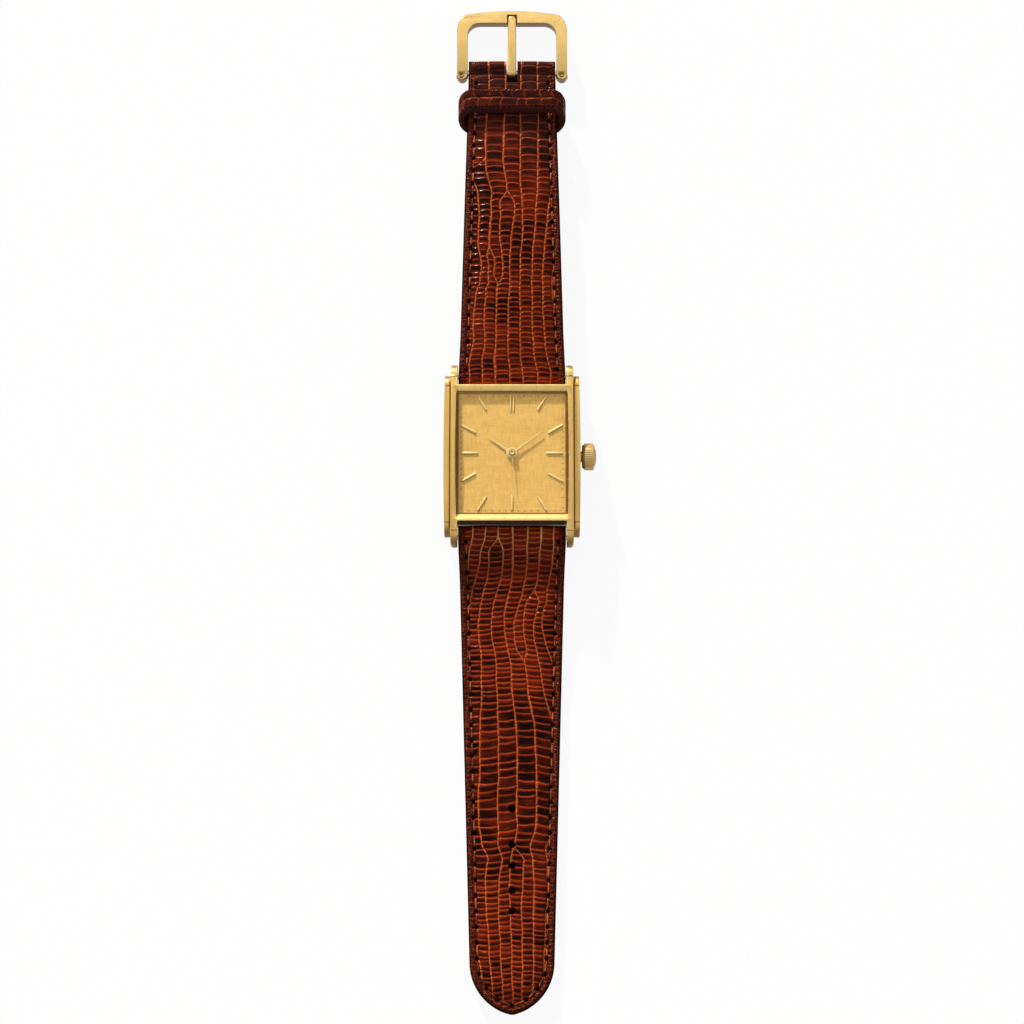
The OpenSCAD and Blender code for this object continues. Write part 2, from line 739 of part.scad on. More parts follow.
module mainplate() {
    low = plate_z - 1;
    color(brass) difference() {
        linear_extrude(plate_top) rounded(plate_w, plate_len, 0.8);
        linear_extrude(plate_z) square([far, far], center = true);
        // Train side
        post(barrel_p, barrel_tip + 0.1, low, drum_z + drum_h + 0.1);
        post(centre, centre_tip + 0.08, low, centre_floor);
        post(centre, fourth_tip + 0.08, low, third_z - 0.01);
        post(third_p, third_tip + 0.08, low, third_z + wheel_t + 0.08);
        post(third_p, 0.7, low, centre_floor);
        post(escape_p, escape_r + 0.12, low, deep_z);
        post(fork_p, 1.45, low, deep_z);
        post(balance_p, balance_r + 0.2, low, deep_z);
        linear_extrude(pallet_bridge_z + pallet_bridge_t) pallet_bridge_plan(0.05);
        // Bearings
        post(centre, 0.32 + fit, low, far);
        post(barrel_p, barrel_bore, low, drum_z + drum_h + 0.6);
        post(third_p, jewel_r, low, centre_floor + jewel_h);
        for (p = [escape_p, fork_p, balance_p]) post(p, jewel_r * 0.7, low, deep_z + jewel_h);
        // Stem, with its two pinions
        along_stem(pilot_x - 0.5, sliding_x, 0.3 + fit);
        along_stem(sliding_x, far, stem_r + 0.03);
        stem_slots();
        // Dial side
        post(centre, tip_radius(cannon_leaves, cannon_m, leaf_form) + 0.12, motion_floor, far);
        post(minute_p, minute_tip + 0.1, motion_floor, far);
        post(setting_p, setting_tip + 0.1, setting_floor, far);
        translate([sliding_x - 0.3, -4.0, lever_floor]) cube([lever_p[0] + 0.85 - sliding_x, 4.6, far]);
        translate([groove_x - 0.1, -0.35, stem_z]) cube([groove_len + crown_travel + 0.2, 0.7, far]);
        for (p = dial_foot_p) post(p, 0.35, plate_top - 0.8, far);
        for (p = bridge_screw_p) post(p, screw_shank_r, low, plate_z + 0.75);
        post(pallet_screw_p, screw_shank_r, low, plate_z + 0.9);
    }
    color(brass) {
        post(setting_p, 0.25, setting_floor, setting_z + 0.6);
        post(minute_p, 0.2, motion_floor, plate_top + 0.35);
        post(lever_p, 0.35, lever_floor, lever_z + lever_t + 0.04);
        post(yoke_p, 0.35, lever_floor, lever_z + lever_t + 0.04);
        post(cover_screw_p, 0.6, lever_floor, lever_z + lever_t + 0.04);
    }
}

module barrel_bridge() {
    color(nickel) difference() {
        at([0, 0], bridge_z) linear_extrude(bridge_t) barrel_bridge_plan();
        difference() {
            union() {
                post(barrel_p, ratchet_tip + 0.1, 0, recess_z);
                post(crown_wheel_p, crown_wheel_tip + 0.1, 0, recess_z);
                post(click_p, 1.0, 0, recess_z);
                translate([click_p[0] - 3.3, click_p[1], 0]) cube([5.4, 1.55, recess_z]);
                translate([click_p[0], click_p[1] - 0.6, 0]) cube([2.4, 1.4, recess_z]);
            }
            post(crown_wheel_p, 0.68, winding_z, far);
            post(click_p, 0.2, winding_z, far);
        }
        post(barrel_p, barrel_bore, 0, far);
        stem_slots();
        for (p = bridge_screw_p) {
            post(p, screw_head_r + slack, 0, bridge_z + 0.25);
            post(p, screw_shank_r, 0, far);
        }
    }
}

module train_bridge() {
    color(nickel) difference() {
        at([0, 0], bridge_z) linear_extrude(bridge_t) train_bridge_plan();
        for (p = [centre, third_p, escape_p]) post(p, jewel_r, 0, far);
        for (p = bridge_screw_p) {
            post(p, screw_head_r + slack, 0, bridge_z + 0.25);
            post(p, screw_shank_r, 0, far);
        }
    }
}

module pallet_bridge() {
    color(nickel) difference() {
        at([0, 0], pallet_bridge_z) linear_extrude(pallet_bridge_t) pallet_bridge_plan(0);
        post(fork_p, jewel_r * 0.7, 0, far);
        post(pallet_screw_p, screw_shank_r, 0, far);
    }
}

module balance_cock() {
    foot_edge = balance_p[0] - balance_r - 0.35;
    color(nickel) difference() {
        union() {
            translate([-plate_w / 2 + 0.2, -plate_len / 2 + 0.4, bridge_z])
                cube([foot_edge + plate_w / 2 - 0.2, 4.9, bridge_t]);
            translate([foot_edge - 1, balance_p[1] - 1.1, bridge_z])
                cube([balance_p[0] - foot_edge + 1, 2.2, cock_t]);
            post(balance_p, 1.1, bridge_z, bridge_z + cock_t);
        }
        post(balance_p, jewel_r, 0, far);
        for (p = bridge_screw_p) {
            post(p, screw_head_r + slack, 0, bridge_z + 0.25);
            post(p, screw_shank_r, 0, far);
        }
    }
    // Stud that holds the hairspring's outer end
    color(nickel) at(balance_p + [-2.45, 0]) slab(0.4, 0.4, bridge_z + cock_t, hairspring_z + hairspring_h);
}

module regulator() {
    color(steel) at(balance_p, bridge_z - 0.09) linear_extrude(0.09) difference() {
        union() {
            circle(r = 0.85);
            rotate(205) translate([0.5, -0.12]) square([1.9, 0.24]);
        }
        circle(r = 0.55);
    }
}

module jewel(p, r, z) {
    difference() {
        post(p, r, z, z + jewel_h);
        post(p, pivot_r + fit, z - 1, z + 1);
    }
}

module jewels() {
    color(ruby) {
        for (p = [centre, third_p, escape_p]) jewel(p, jewel_r, plate_z - 0.3);
        jewel(balance_p, jewel_r, bridge_z + cock_t - jewel_h - 0.02);
        jewel(fork_p, jewel_r * 0.7, pallet_bridge_z - 0.02);
        jewel(third_p, jewel_r, centre_floor);
        for (p = [escape_p, fork_p, balance_p]) jewel(p, jewel_r * 0.7, deep_z);
    }
}

module slotted_screw(p, z, head_r, head_h, shank_r, shank_end) {
    difference() {
        union() {
            post(p, head_r, z, z + head_h);
            post(p, shank_r, z, shank_end);
        }
        at(p, z - 0.5) slab(2 * head_r + 1, head_r * 0.22, 0, 0.5 + head_h * 0.4);
    }
}

module bridge_screws() {
    color("steelblue") {
        for (p = bridge_screw_p) {
            slotted_screw(p, bridge_z + 0.03, screw_head_r, 0.22, screw_shank_r, plate_z + 0.75);
        }
        slotted_screw(pallet_screw_p, pallet_bridge_z - 0.2, screw_head_r, 0.2, screw_shank_r, plate_z + 0.9);
        slotted_screw(crown_wheel_p, winding_z - 0.14, 1.0, 0.14, 0.3, winding_z);
        difference() {
            post(cover_screw_p, 0.5, lever_z + lever_t + 0.22, lever_z + lever_t + 0.38);
            at(cover_screw_p, lever_z + lever_t + 0.32) slab(2, 0.12, 0, 1);
        }
    }
}

module click() {
    run = click_nose - click_p;
    color(steel) at([0, 0], winding_z) linear_extrude(winding_t) difference() {
        union() {
            at(click_p) circle(r = 0.6);
            at(click_p) rotate(atan2(run[1], run[0])) polygon([[0, -0.3], [norm(run), 0], [norm(run) - 0.2, 0.4], [0, 0.55]]);
        }
        at(click_p) circle(r = 0.2 + fit);
    }
}

module click_spring() {
    color(steel) at(click_p, winding_z) linear_extrude(0.12) {
        translate([-3.0, 0.95]) square([4.4, 0.12]);
        translate([-3.1, 0.45]) square([0.8, 0.62]);
    }
}

module setting_lever_spring() {
    z = lever_z + lever_t + 0.04;
    color(steel) {
        translate([yoke_p[0] - 0.45, -3.85, z]) cube([lever_p[0] - yoke_p[0] + 0.9, 1.2, 0.18]);
        translate([lever_p[0] - 0.45, -2.7, z]) cube([0.9, 0.9, 0.18]);
    }
}

// Drum open to the back, with its toothed rim at mid height
module barrel() {
    color(brass) at(barrel_p) difference() {
        union() {
            translate([0, 0, drum_z]) cylinder(r = drum_r, h = drum_h);
            translate([0, 0, barrel_teeth_z]) toothed(barrel_n, barrel_m, wheel_form, 0, 0.25);
        }
        translate([0, 0, drum_z - 1]) cylinder(r = drum_r - 0.2, h = 1 + drum_h - 0.15);
        cylinder(r = barrel_bore, h = far);
    }
}

module barrel_cover() {
    color(brass) at(barrel_p, drum_z) linear_extrude(0.12) difference() {
        circle(r = drum_r - 0.2);
        circle(r = barrel_bore);
    }
}

// Points of a flat spiral strip from r0 out to r1
function spiral(r0, r1, turns, steps, w) = [
    for (i = [0:turns * steps]) polar(r0 + (r1 - r0) * i / (turns * steps) + w, 360 * i / steps)
];
function reversed(v) = [for (i = [len(v) - 1:-1:0]) v[i]];

module spiral_strip(r0, r1, turns, steps, w, h) {
    linear_extrude(h)
        polygon(concat(spiral(r0, r1, turns, steps, w / 2), reversed(spiral(r0, r1, turns, steps, -w / 2))));
}

module mainspring() {
    color(steel) at(barrel_p, drum_z + 0.16)
        spiral_strip(1.4, drum_r - 0.26, mainspring_turns, 20, 0.1, drum_h - 0.37);
}

module barrel_arbor() {
    color(steel) {
        post(barrel_p, 0.5, recess_z, drum_z + drum_h + 0.55);
        post(barrel_p, 1.2, drum_z + 0.16, drum_z + drum_h - 0.2);
        at(barrel_p) slab(0.7, 0.7, winding_z, recess_z);
    }
}

module ratchet_wheel() {
    color(steel) at(barrel_p, winding_z) linear_extrude(winding_t) difference() {
        polygon(teeth(ratchet_n, ratchet_m, wheel_form, 0));
        square(0.7, center = true);
    }
}

module ratchet_screw() {
    color("steelblue") slotted_screw(barrel_p, winding_z - 0.14, 0.9, 0.14, 0.3, winding_z);
}

module crown_wheel() {
    color(steel) at(crown_wheel_p, winding_z)
        toothed(crown_wheel_n, ratchet_m, wheel_form, crown_wheel_turn, winding_t, 0.7);
}

module arbor(p, r, z0, z1) {
    post(p, r, z0, z1);
    post(p, pivot_r, z0 - 0.3, z0);
    post(p, pivot_r, z1, z1 + jewel_h);
}

module centre_wheel() {
    hub_end = minute_hand_z + hand_t;
    color(brass) difference() {
        union() {
            at(centre, centre_z) spoked(centre_n, third_m, wheel_form, 0, wheel_t, 0.3, 5);
            at(centre, barrel_teeth_z) toothed(centre_leaves, barrel_m, leaf_form, centre_turn, 0.33);
            post(centre, 0.5, barrel_teeth_z + 0.33, centre_z);
            post(centre, 0.32, centre_z, hub_end);
        }
        post(centre, 0.18, 0, far);
    }
}

module cannon_pinion() {
    color(steel) difference() {
        union() {
            at(centre, cannon_z) toothed(cannon_leaves, cannon_m, leaf_form, 0, 0.35);
            post(centre, 0.5, cannon_z, minute_hand_z + hand_t);
        }
        post(centre, 0.32, 0, far);
    }
}

module third_wheel() {
    color(brass) {
        at(third_p, third_z) spoked(third_n, fourth_m, wheel_form, 0, wheel_t, 0.12, 5);
        at(third_p, centre_z - 0.05) toothed(third_leaves, third_m, leaf_form, third_turn, wheel_t + 0.1);
    }
    color(steel) arbor(third_p, 0.12, plate_z + 0.03, centre_floor - 0.02);
}

module fourth_wheel() {
    color(brass) {
        at(centre, fourth_z) spoked(fourth_n, escape_m, wheel_form, 0, wheel_t * 0.85, 0.15, 5);
        at(centre, fourth_z + 0.15) toothed(fourth_leaves, fourth_m, leaf_form, fourth_turn, 0.4);
    }
    color(steel) {
        post(centre, 0.15, plate_z + 0.02, seconds_hand_z + 0.14);
        post(centre, pivot_r, plate_z - 0.3, plate_z + 0.03);
        post(centre, 0.2, fourth_z, fourth_z + 0.15);
    }
}

// Points of a wheel with slanting pointed teeth
function club(n, r) = [
    for (i = [0:n - 1])
        for (p = [[0.78, 0], [0.8, 12], [1, 19], [1, 21.5], [0.78, 23.5]])
            polar(r * p[0], (i + p[1] / 24) * 360 / n)
];

module escape_wheel() {
    color(steel) {
        at(escape_p, escape_z) linear_extrude(wheel_t) difference() {
            polygon(club(escape_n, escape_r));
            circle(r = 0.1);
            difference() {
                circle(r = escape_r * 0.65);
                circle(r = escape_r * 0.22);
                for (i = [0:3]) rotate(90 * i) translate([0, -0.1]) square([escape_r, 0.2]);
            }
        }
        at(escape_p, plate_z + 0.04)
            toothed(escape_leaves, escape_m, leaf_form, escape_turn, 0.26);
        arbor(escape_p, 0.1, plate_z + 0.03, deep_z - 0.02);
    }
}

// The fork lies along its line with the pallets towards the escape wheel
module pallet_fork() {
    back = fork_c - escape_r * cos(30);
    arm_len = balance_c - 0.62;
    color(steel) at(fork_p, escape_z) rotate(lever_line) linear_extrude(wheel_t) difference() {
        union() {
            circle(r = 0.3);
            translate([0, -0.1]) square([arm_len - 0.2, 0.2]);
            translate([arm_len - 0.3, -0.28]) square([0.3, 0.56]);
            for (s = [-1, 1]) {
                rotate(s * 105) translate([0, -0.12]) square([1.25, 0.24]);
            }
        }
        translate([arm_len - 0.22, -0.09]) square([1, 0.18]);
        circle(r = 0.06);
        at([-fork_c, 0]) circle(r = escape_r + 0.04);
    }
    color(ruby) at(fork_p, escape_z) rotate(lever_line) linear_extrude(wheel_t) {
        for (s = [-1, 1]) rotate(s * 105) translate([1.25, -0.12]) square([0.1, 0.24]);
    }
    color(steel) {
        post(fork_p, 0.06, pallet_bridge_z + 0.02, deep_z + jewel_h - 0.02);
    }
}

module balance_wheel() {
    color(brass) at(balance_p, balance_z) {
        linear_extrude(balance_t) difference() {
            circle(r = balance_r);
            circle(r = balance_r - 0.3);
        }
        translate([0, 0, balance_t / 2]) linear_extrude(0.1) difference() {
            union() {
                circle(r = 0.45);
                translate([0.3 - balance_r, -0.15]) square([2 * balance_r - 0.6, 0.3]);
            }
            circle(r = 0.1);
        }
    }
    color(steel) {
        post(balance_p, 0.1, bridge_z + cock_t + 0.02, deep_z - 0.02);
        post(balance_p, 0.3, hairspring_z - 0.02, balance_z + balance_t / 2);
        post(balance_p, pivot_r, bridge_z + 0.12, bridge_z + cock_t + 0.02);
        post(balance_p, pivot_r, deep_z - 0.02, deep_z + jewel_h - 0.02);
    }
}

module roller() {
    color(ruby) difference() {
        union() {
            post(balance_p, 0.75, roller_z, roller_z + 0.12);
            post(balance_p - polar(0.6, lever_line), 0.06, roller_z, escape_z - 0.02);
        }
        post(balance_p, 0.1, 0, far);
    }
}

module hairspring() {
    color("steelblue") at(balance_p, hairspring_z) rotate(180)
        spiral_strip(0.33, 2.15, hairspring_turns, 20, 0.05, hairspring_h);
}

module minute_wheel() {
    color(brass) at(minute_p) difference() {
        union() {
            translate([0, 0, minute_wheel_z])
                toothed(minute_n, cannon_m, wheel_form, minute_turn, 0.15);
            translate([0, 0, minute_wheel_z]) cylinder(r = 0.38, h = minute_pinion_z - minute_wheel_z);
            translate([0, 0, minute_pinion_z])
                toothed(minute_leaves, hour_m, leaf_form, 0, 0.3);
        }
        cylinder(r = 0.2 + fit, h = far);
    }
}

module hour_wheel() {
    color(brass) difference() {
        union() {
            at(centre, hour_wheel_z) toothed(hour_n, hour_m, wheel_form, hour_turn, 0.15);
            post(centre, 0.75, hour_wheel_z, hour_hand_z + hour_hand_h);
        }
        post(centre, 0.5 + fit, 0, far);
    }
}

module setting_wheel() {
    color(steel) at(setting_p, setting_z)
        toothed(setting_n, setting_m, wheel_form, setting_turn, 0.55, 0.25 + fit);
}

// Square bar along the stem
module stem_square(x0, x1, w) {
    translate([x0, -w / 2, stem_z - w / 2]) cube([x1 - x0, w, w]);
}

module winding_stem() {
    color(steel) {
        along_stem(pilot_x, square_x, 0.3);
        stem_square(square_x, round_x, square_w);
        along_stem(round_x, groove_x, stem_r);
        along_stem(groove_x, groove_x + groove_len, 0.28);
        along_stem(groove_x + groove_len, crown_x + crown_len - 0.9, stem_r);
    }
}

// Claws on a pinion's face
module claws(x0, x1, r, turn) {
    for (i = [0:claw_n - 1]) {
        translate([x0, 0, stem_z]) rotate([turn + 360 * i / claw_n, 0, 0])
            translate([0, -0.06, 0.58]) cube([x1 - x0, 0.12, r - 0.58]);
    }
}

module winding_pinion() {
    color(steel) {
        difference() {
            translate([winding_x, 0, stem_z]) rotate([90, 0, 90])
                toothed(winding_n, winding_m, [0.6, 1.5, 0.3, 0.12], winding_turn + 90, winding_end - winding_x);
            along_stem(0, far, stem_r + fit);
        }
        claws(winding_x - 0.1, winding_x + 0.01, sliding_r, 180 / claw_n);
    }
}

module sliding_pinion() {
    mid = yoke_x;
    color(steel) {
        difference() {
            union() {
                along_stem(sliding_x + 0.15, mid - 0.2, sliding_r);
                along_stem(mid - 0.25, mid + 0.25, 0.6);
                along_stem(mid + 0.2, sliding_end, sliding_r);
            }
            stem_square(0, far, square_w + 2 * fit);
        }
        claws(sliding_end - 0.01, sliding_end + 0.09, sliding_r, 0);
        claws(sliding_x, sliding_x + 0.16, sliding_r, 0);
    }
}

module setting_lever() {
    pin = [groove_x + groove_len / 2, 0];
    run = pin - lever_p;
    color(steel) {
        difference() {
            at([0, 0], lever_z) linear_extrude(lever_t) union() {
                at(lever_p) circle(r = 0.6);
                at(lever_p) rotate(atan2(run[1], run[0])) translate([0, -0.18]) square([norm(run), 0.36]);
                at(pin) circle(r = 0.18);
            }
            post(lever_p, 0.35 + fit, 0, far);
        }
        post(pin, 0.12, stem_z + 0.32, lever_z);
    }
}

module yoke() {
    tip = [yoke_x, 0.1];
    run = tip - yoke_p;
    arm = norm(run);
    color(steel) difference() {
        at([0, 0], lever_z) linear_extrude(lever_t) union() {
            at(yoke_p) circle(r = 0.6);
            at(yoke_p) rotate(atan2(run[1], run[0])) {
                translate([0, -0.2]) square([arm - 1.3, 0.4]);
                translate([0, -0.07]) square([arm, 0.14]);
            }
        }
        post(yoke_p, 0.35 + fit, 0, far);
    }
}

function fluted(n, r, d) = [
    for (i = [0:n - 1])
        for (p = [[0, -0.28], [0, 0.28], [d, 0.42], [d, 0.58]])
            polar(r - p[0], (i + p[1]) * 360 / n)
];

module crown() {
    chamfer = 0.45;
    dome = 0.6;
    dome_base = crown_r - 0.12;
    dome_r = (dome_base * dome_base + dome * dome) / (2 * dome);
    knurl_len = crown_len - chamfer - dome;
    color(gold) difference() {
        translate([crown_x, 0, stem_z]) rotate([90, 0, 90]) {
            cylinder(r1 = crown_r - chamfer, r2 = dome_base, h = chamfer);
            translate([0, 0, chamfer]) linear_extrude(knurl_len) polygon(fluted(crown_flutes, crown_r, 0.12));
            translate([0, 0, chamfer + knurl_len]) intersection() {
                cylinder(r = dome_base, h = dome);
                translate([0, 0, dome - dome_r]) sphere(r = dome_r);
            }
        }
        along_stem(crown_x - 1, tube_end + 0.15, crown_cavity_r);
        along_stem(crown_x - 1, crown_x + crown_len - 0.9, stem_r);
    }
}

module crown_gasket() {
    color("black") difference() {
        along_stem(crown_x + 0.15, crown_x + 0.4, crown_cavity_r);
        along_stem(0, far, tube_r + 0.03);
    }
}

// A hand pointing along +Y: a hub and a tapering blade
module hand(hub_r, bore, len, w0, w1, t) {
    linear_extrude(t) difference() {
        union() {
            circle(r = hub_r);
            polygon([[-w0 / 2, 0], [w0 / 2, 0], [w1 / 2, len], [-w1 / 2, len]]);
        }
        circle(r = bore);
    }
}

hour_angle = 300 + minute_angle / 12;

module hour_hand() {
    color(gold) at(centre, hour_hand_z) rotate(-hour_angle) {
        hand(1.1, 0.75, hour_len, 0.62, 0.16, hand_t);
        linear_extrude(hour_hand_h) difference() {
            circle(r = 1.0);
            circle(r = 0.75);
        }
    }
}

module minute_hand() {
    color(gold) at(centre, minute_hand_z) rotate(-minute_angle) hand(0.85, 0.5, minute_len, 0.5, 0.12, hand_t);
}

module seconds_hand() {
    color(gold) at(centre, seconds_hand_z) rotate(-seconds_angle) {
        hand(0.45, 0.15, seconds_len, 0.16, 0.07, seconds_t);
        difference() {
            cylinder(r = 0.55, h = seconds_hub_h);
            translate([0, 0, -1]) cylinder(r = 0.15, h = 3);
            translate([0, 0, 0.14]) cylinder(r = 0.25, h = 1);
        }
    }
}

module spring_bar(y) {
    color(steel) translate([0, y, bar_z]) rotate([0, 90, 0]) {
        translate([0, 0, 0.15 - bar_in]) cylinder(r = spring_bar_r, h = 2 * bar_in - 0.3);
        translate([0, 0, -bar_in - 0.85]) cylinder(r = spring_tip_r, h = 2 * bar_in + 1.7);
    }
}

module spring_bar_12() {
    spring_bar(bar_y);
}

module spring_bar_6() {
    spring_bar(-bar_y);
}

// Thickness of the strap at d from the spring bar
function thick(d) = let (u = min(1, d / pad_len))
    strap_end_t + (strap_lug_t - strap_end_t) * (1 - u) * (1 - u) * (1 + 2 * u);
// Height of the short strap's mid line, and of the long strap's
function short_mid(d) = let (s = d / strap_len)
    bar_z + (buckle_z - bar_z) * s + arch * sin(180 * min(s, 1));
function long_bottom(d) = let (u = min(1, d / settle_len))
    (bar_z - strap_lug_t / 2) * (1 - u) * (1 - u);
function long_mid(d) = long_bottom(d) + thick(d) / 2;

strap_steps = 36;
function stations(d0, d1) = [for (i = [0:strap_steps]) d0 + (d1 - d0) * i / strap_steps];

// Side outlines of the two layers, with d along +X from the spring bar
module short_side(d0, upper) {
    ds = stations(0, strap_len);
    dl = [for (d = ds) if (d >= d0) d];
    top = [for (d = ds) [d, short_mid(d) + thick(d) / 2]];
    seam = [for (d = dl) [d, short_mid(d) - thick(d) / 2 + lining_t]];
    under = [for (d = dl) [d, short_mid(d) - thick(d) / 2]];
    head = [for (d = ds) if (d <= dl[0]) [d, short_mid(d) - thick(d) / 2]];
    if (upper) polygon(concat(head, seam, reversed(top)));
    else polygon(concat(under, reversed(seam)));
}

module long_side(d0, upper) {
    ds = stations(0, tail_len);
    dl = [for (d = ds) if (d >= d0) d];
    top = [for (d = ds) [d, long_mid(d) + thick(d) / 2]];
    seam = [for (d = dl) [d, long_bottom(d) + lining_t]];
    under = [for (d = dl) [d, long_bottom(d)]];
    head = [for (d = ds) if (d <= dl[0]) [d, long_bottom(d)]];
    if (upper) polygon(concat(head, seam, reversed(top)));
    else polygon(concat(under, reversed(seam)));
}

// Plan outlines, with d along +Y from the spring bar
module short_plan() {
    near = strap_w / 2;
    away = strap_buckle_w / 2;
    polygon([[-near, -3], [near, -3], [near, 0], [away, strap_len], [away, strap_len + 4],
             [-away, strap_len + 4], [-away, strap_len], [-near, 0]]);
}

module long_plan() {
    near = strap_w / 2;
    away = strap_tail_w / 2;
    offset_x = tip_r - away;
    reach = sqrt(tip_r * tip_r - offset_x * offset_x);
    a1 = asin(reach / tip_r);
    steps = 14;
    side = [for (i = [0:steps]) [tip_r * cos(a1 * i / steps) - offset_x, tail_len - reach + tip_r * sin(a1 * i / steps)]];
    polygon(concat([[-near, -3], [near, -3], [near, 0]], side,
                   [for (p = reversed(side)) [-p[0], p[1]]], [[-near, 0]]));
}

// Slot for the tongue, whose end slopes back so that the tongue can swing over it
module tongue_slot() {
    low = buckle_z + 0.1;
    high = 2 * strap_end_t;
    across(-notch_w / 2, notch_w / 2)
        polygon([[notch_y, -1], [far + notch_y, -1], [far + notch_y, low + high],
                 [notch_y - high * tan(slot_slope), low + high], [notch_y, low]]);
}

module strap_12_upper() {
    color(leather) difference() {
        intersection() {
            union() {
                translate([0, bar_y, 0]) across(-far, far) short_side(lining_start, true);
                translate([-far, bar_y, bar_z]) rotate([0, 90, 0]) cylinder(r = strap_lug_t / 2, h = 2 * far);
                // The end folds round the buckle's bar
                across(-far, far) {
                    translate([strap_end_y - strap_end_r, buckle_z]) circle(r = strap_end_r);
                    translate([buckle_y - 0.05, buckle_z - strap_end_t / 2])
                        square([strap_end_y - strap_end_r - buckle_y + 0.05, strap_end_t]);
                }
            }
            translate([0, bar_y, 0]) linear_extrude(far) short_plan();
        }
        translate([-far, bar_y, bar_z]) rotate([0, 90, 0]) cylinder(r = strap_hole, h = 2 * far);
        translate([-far, buckle_y, buckle_z]) rotate([0, 90, 0]) cylinder(r = buckle_hole, h = 2 * far);
        tongue_slot();
    }
}

module strap_12_lining() {
    color(lining_colour) difference() {
        intersection() {
            translate([0, bar_y, 0]) across(-far, far) short_side(lining_start, false);
            translate([0, bar_y, -1]) linear_extrude(far) short_plan();
        }
        translate([-far, strap_end_y - strap_end_r, buckle_z]) rotate([0, 90, 0])
            cylinder(r = strap_end_r + 0.01, h = 2 * far);
        translate([-far, buckle_y, buckle_z]) rotate([0, 90, 0]) cylinder(r = buckle_hole, h = 2 * far);
        tongue_slot();
    }
}

module strap_6_upper() {
    color(leather) mirror([0, 1, 0]) difference() {
        intersection() {
            union() {
                translate([0, bar_y, 0]) across(-far, far) long_side(lining_start, true);
                translate([-far, bar_y, bar_z]) rotate([0, 90, 0]) cylinder(r = strap_lug_t / 2, h = 2 * far);
            }
            translate([0, bar_y, 0]) linear_extrude(far) long_plan();
        }
        translate([-far, bar_y, bar_z]) rotate([0, 90, 0]) cylinder(r = strap_hole, h = 2 * far);
        for (d = hole_places) translate([0, bar_y + d, -1]) cylinder(r = hole_d / 2, h = far);
    }
}

module strap_6_lining() {
    color(lining_colour) mirror([0, 1, 0]) difference() {
        intersection() {
            translate([0, bar_y, 0]) across(-far, far) long_side(lining_start, false);
            translate([0, bar_y, -1]) linear_extrude(far) long_plan();
        }
        for (d = hole_places) translate([0, bar_y + d, -1]) cylinder(r = hole_d / 2, h = far);
    }
}

// A flat oval loop along Y, cut slantwise so that its top leans to the buckle
module keeper() {
    r = keeper_h / 2;
    inner = r - keeper_t;
    half = keeper_w / 2 - r;
    color(leather) intersection() {
        translate([0, keeper_y + 10, keeper_z + r]) rotate([90, 0, 0]) linear_extrude(20) difference() {
            union() {
                square([2 * half, keeper_h], center = true);
                for (s = [-1, 1]) translate([s * half, 0]) circle(r = r);
            }
            union() {
                square([2 * half, 2 * inner], center = true);
                for (s = [-1, 1]) translate([s * half, 0]) circle(r = inner);
            }
        }
        across(-far, far) polygon([
            [keeper_y, keeper_z], [keeper_y + keeper_len, keeper_z],
            [keeper_y + keeper_len + keeper_lean, keeper_z + keeper_h],
            [keeper_y + keeper_lean, keeper_z + keeper_h]
        ]);
    }
}

// A curved band over the wrist between two radii
module wrist_band(r0, r1) {
    across(-far, far) difference() {
        translate(curve_p) circle(r = r1, $fn = 200);
        translate(curve_p) circle(r = r0, $fn = 200);
    }
}

module buckle_plan() {
    corner = 4.2;
    inner_corner = 2.4;
    half = buckle_w / 2;
    y0 = buckle_y - leg_back;
    inner_end = buckle_end - cross_d;
    difference() {
        intersection() {
            union() {
                translate([-half, y0 + 0.8]) square([buckle_w, buckle_end - corner - y0 - 0.8]);
                translate([corner - half, buckle_end - corner - 1]) square([buckle_w - 2 * corner, corner + 1]);
                for (s = [-1, 1]) {
                    translate([s * (half - corner), buckle_end - corner]) circle(r = corner);
                    translate([s * (half - leg_w / 2), y0 + leg_w / 2]) circle(r = leg_w / 2);
                }
            }
            translate([0, buckle_end - 45]) circle(r = 45, $fn = 256);
        }
        translate([leg_w - half, y0 - 1]) square([buckle_w - 2 * leg_w, inner_end - inner_corner - y0 + 1]);
        translate([leg_w - half + inner_corner, y0]) square([buckle_w - 2 * leg_w - 2 * inner_corner, inner_end - y0]);
        for (s = [-1, 1]) {
            translate([s * (half - leg_w - inner_corner), inner_end - inner_corner]) circle(r = inner_corner);
        }
    }
}

module buckle_frame() {
    mid = buckle_curve;
    color(gold) difference() {
        intersection() {
            wrist_band(mid - buckle_t / 2, mid + buckle_t / 2);
            linear_extrude(far) buckle_plan();
        }
        translate([0.45 - buckle_w / 2, buckle_y, buckle_z]) rotate([0, 90, 0])
            cylinder(r = buckle_bar_r, h = buckle_w - 0.9);
        // Dimples in the legs and seat of the tongue in the cross bar
        for (s = [-1, 1]) {
            translate([s * (buckle_w - leg_w) / 2, buckle_y - 0.75, buckle_z + 0.7])
                cylinder(r = dimple_r, h = far);
        }
        intersection() {
            wrist_band(mid + 0.1, mid + 5);
            translate([-tongue_w / 2 - 0.12, buckle_y, 0]) cube([tongue_w + 0.24, buckle_reach - 0.85, far]);
        }
    }
}

module buckle_bar() {
    color(steel) translate([0.45 - buckle_w / 2, buckle_y, buckle_z]) rotate([0, 90, 0])
        cylinder(r = buckle_bar_r, h = buckle_w - 0.9);
}

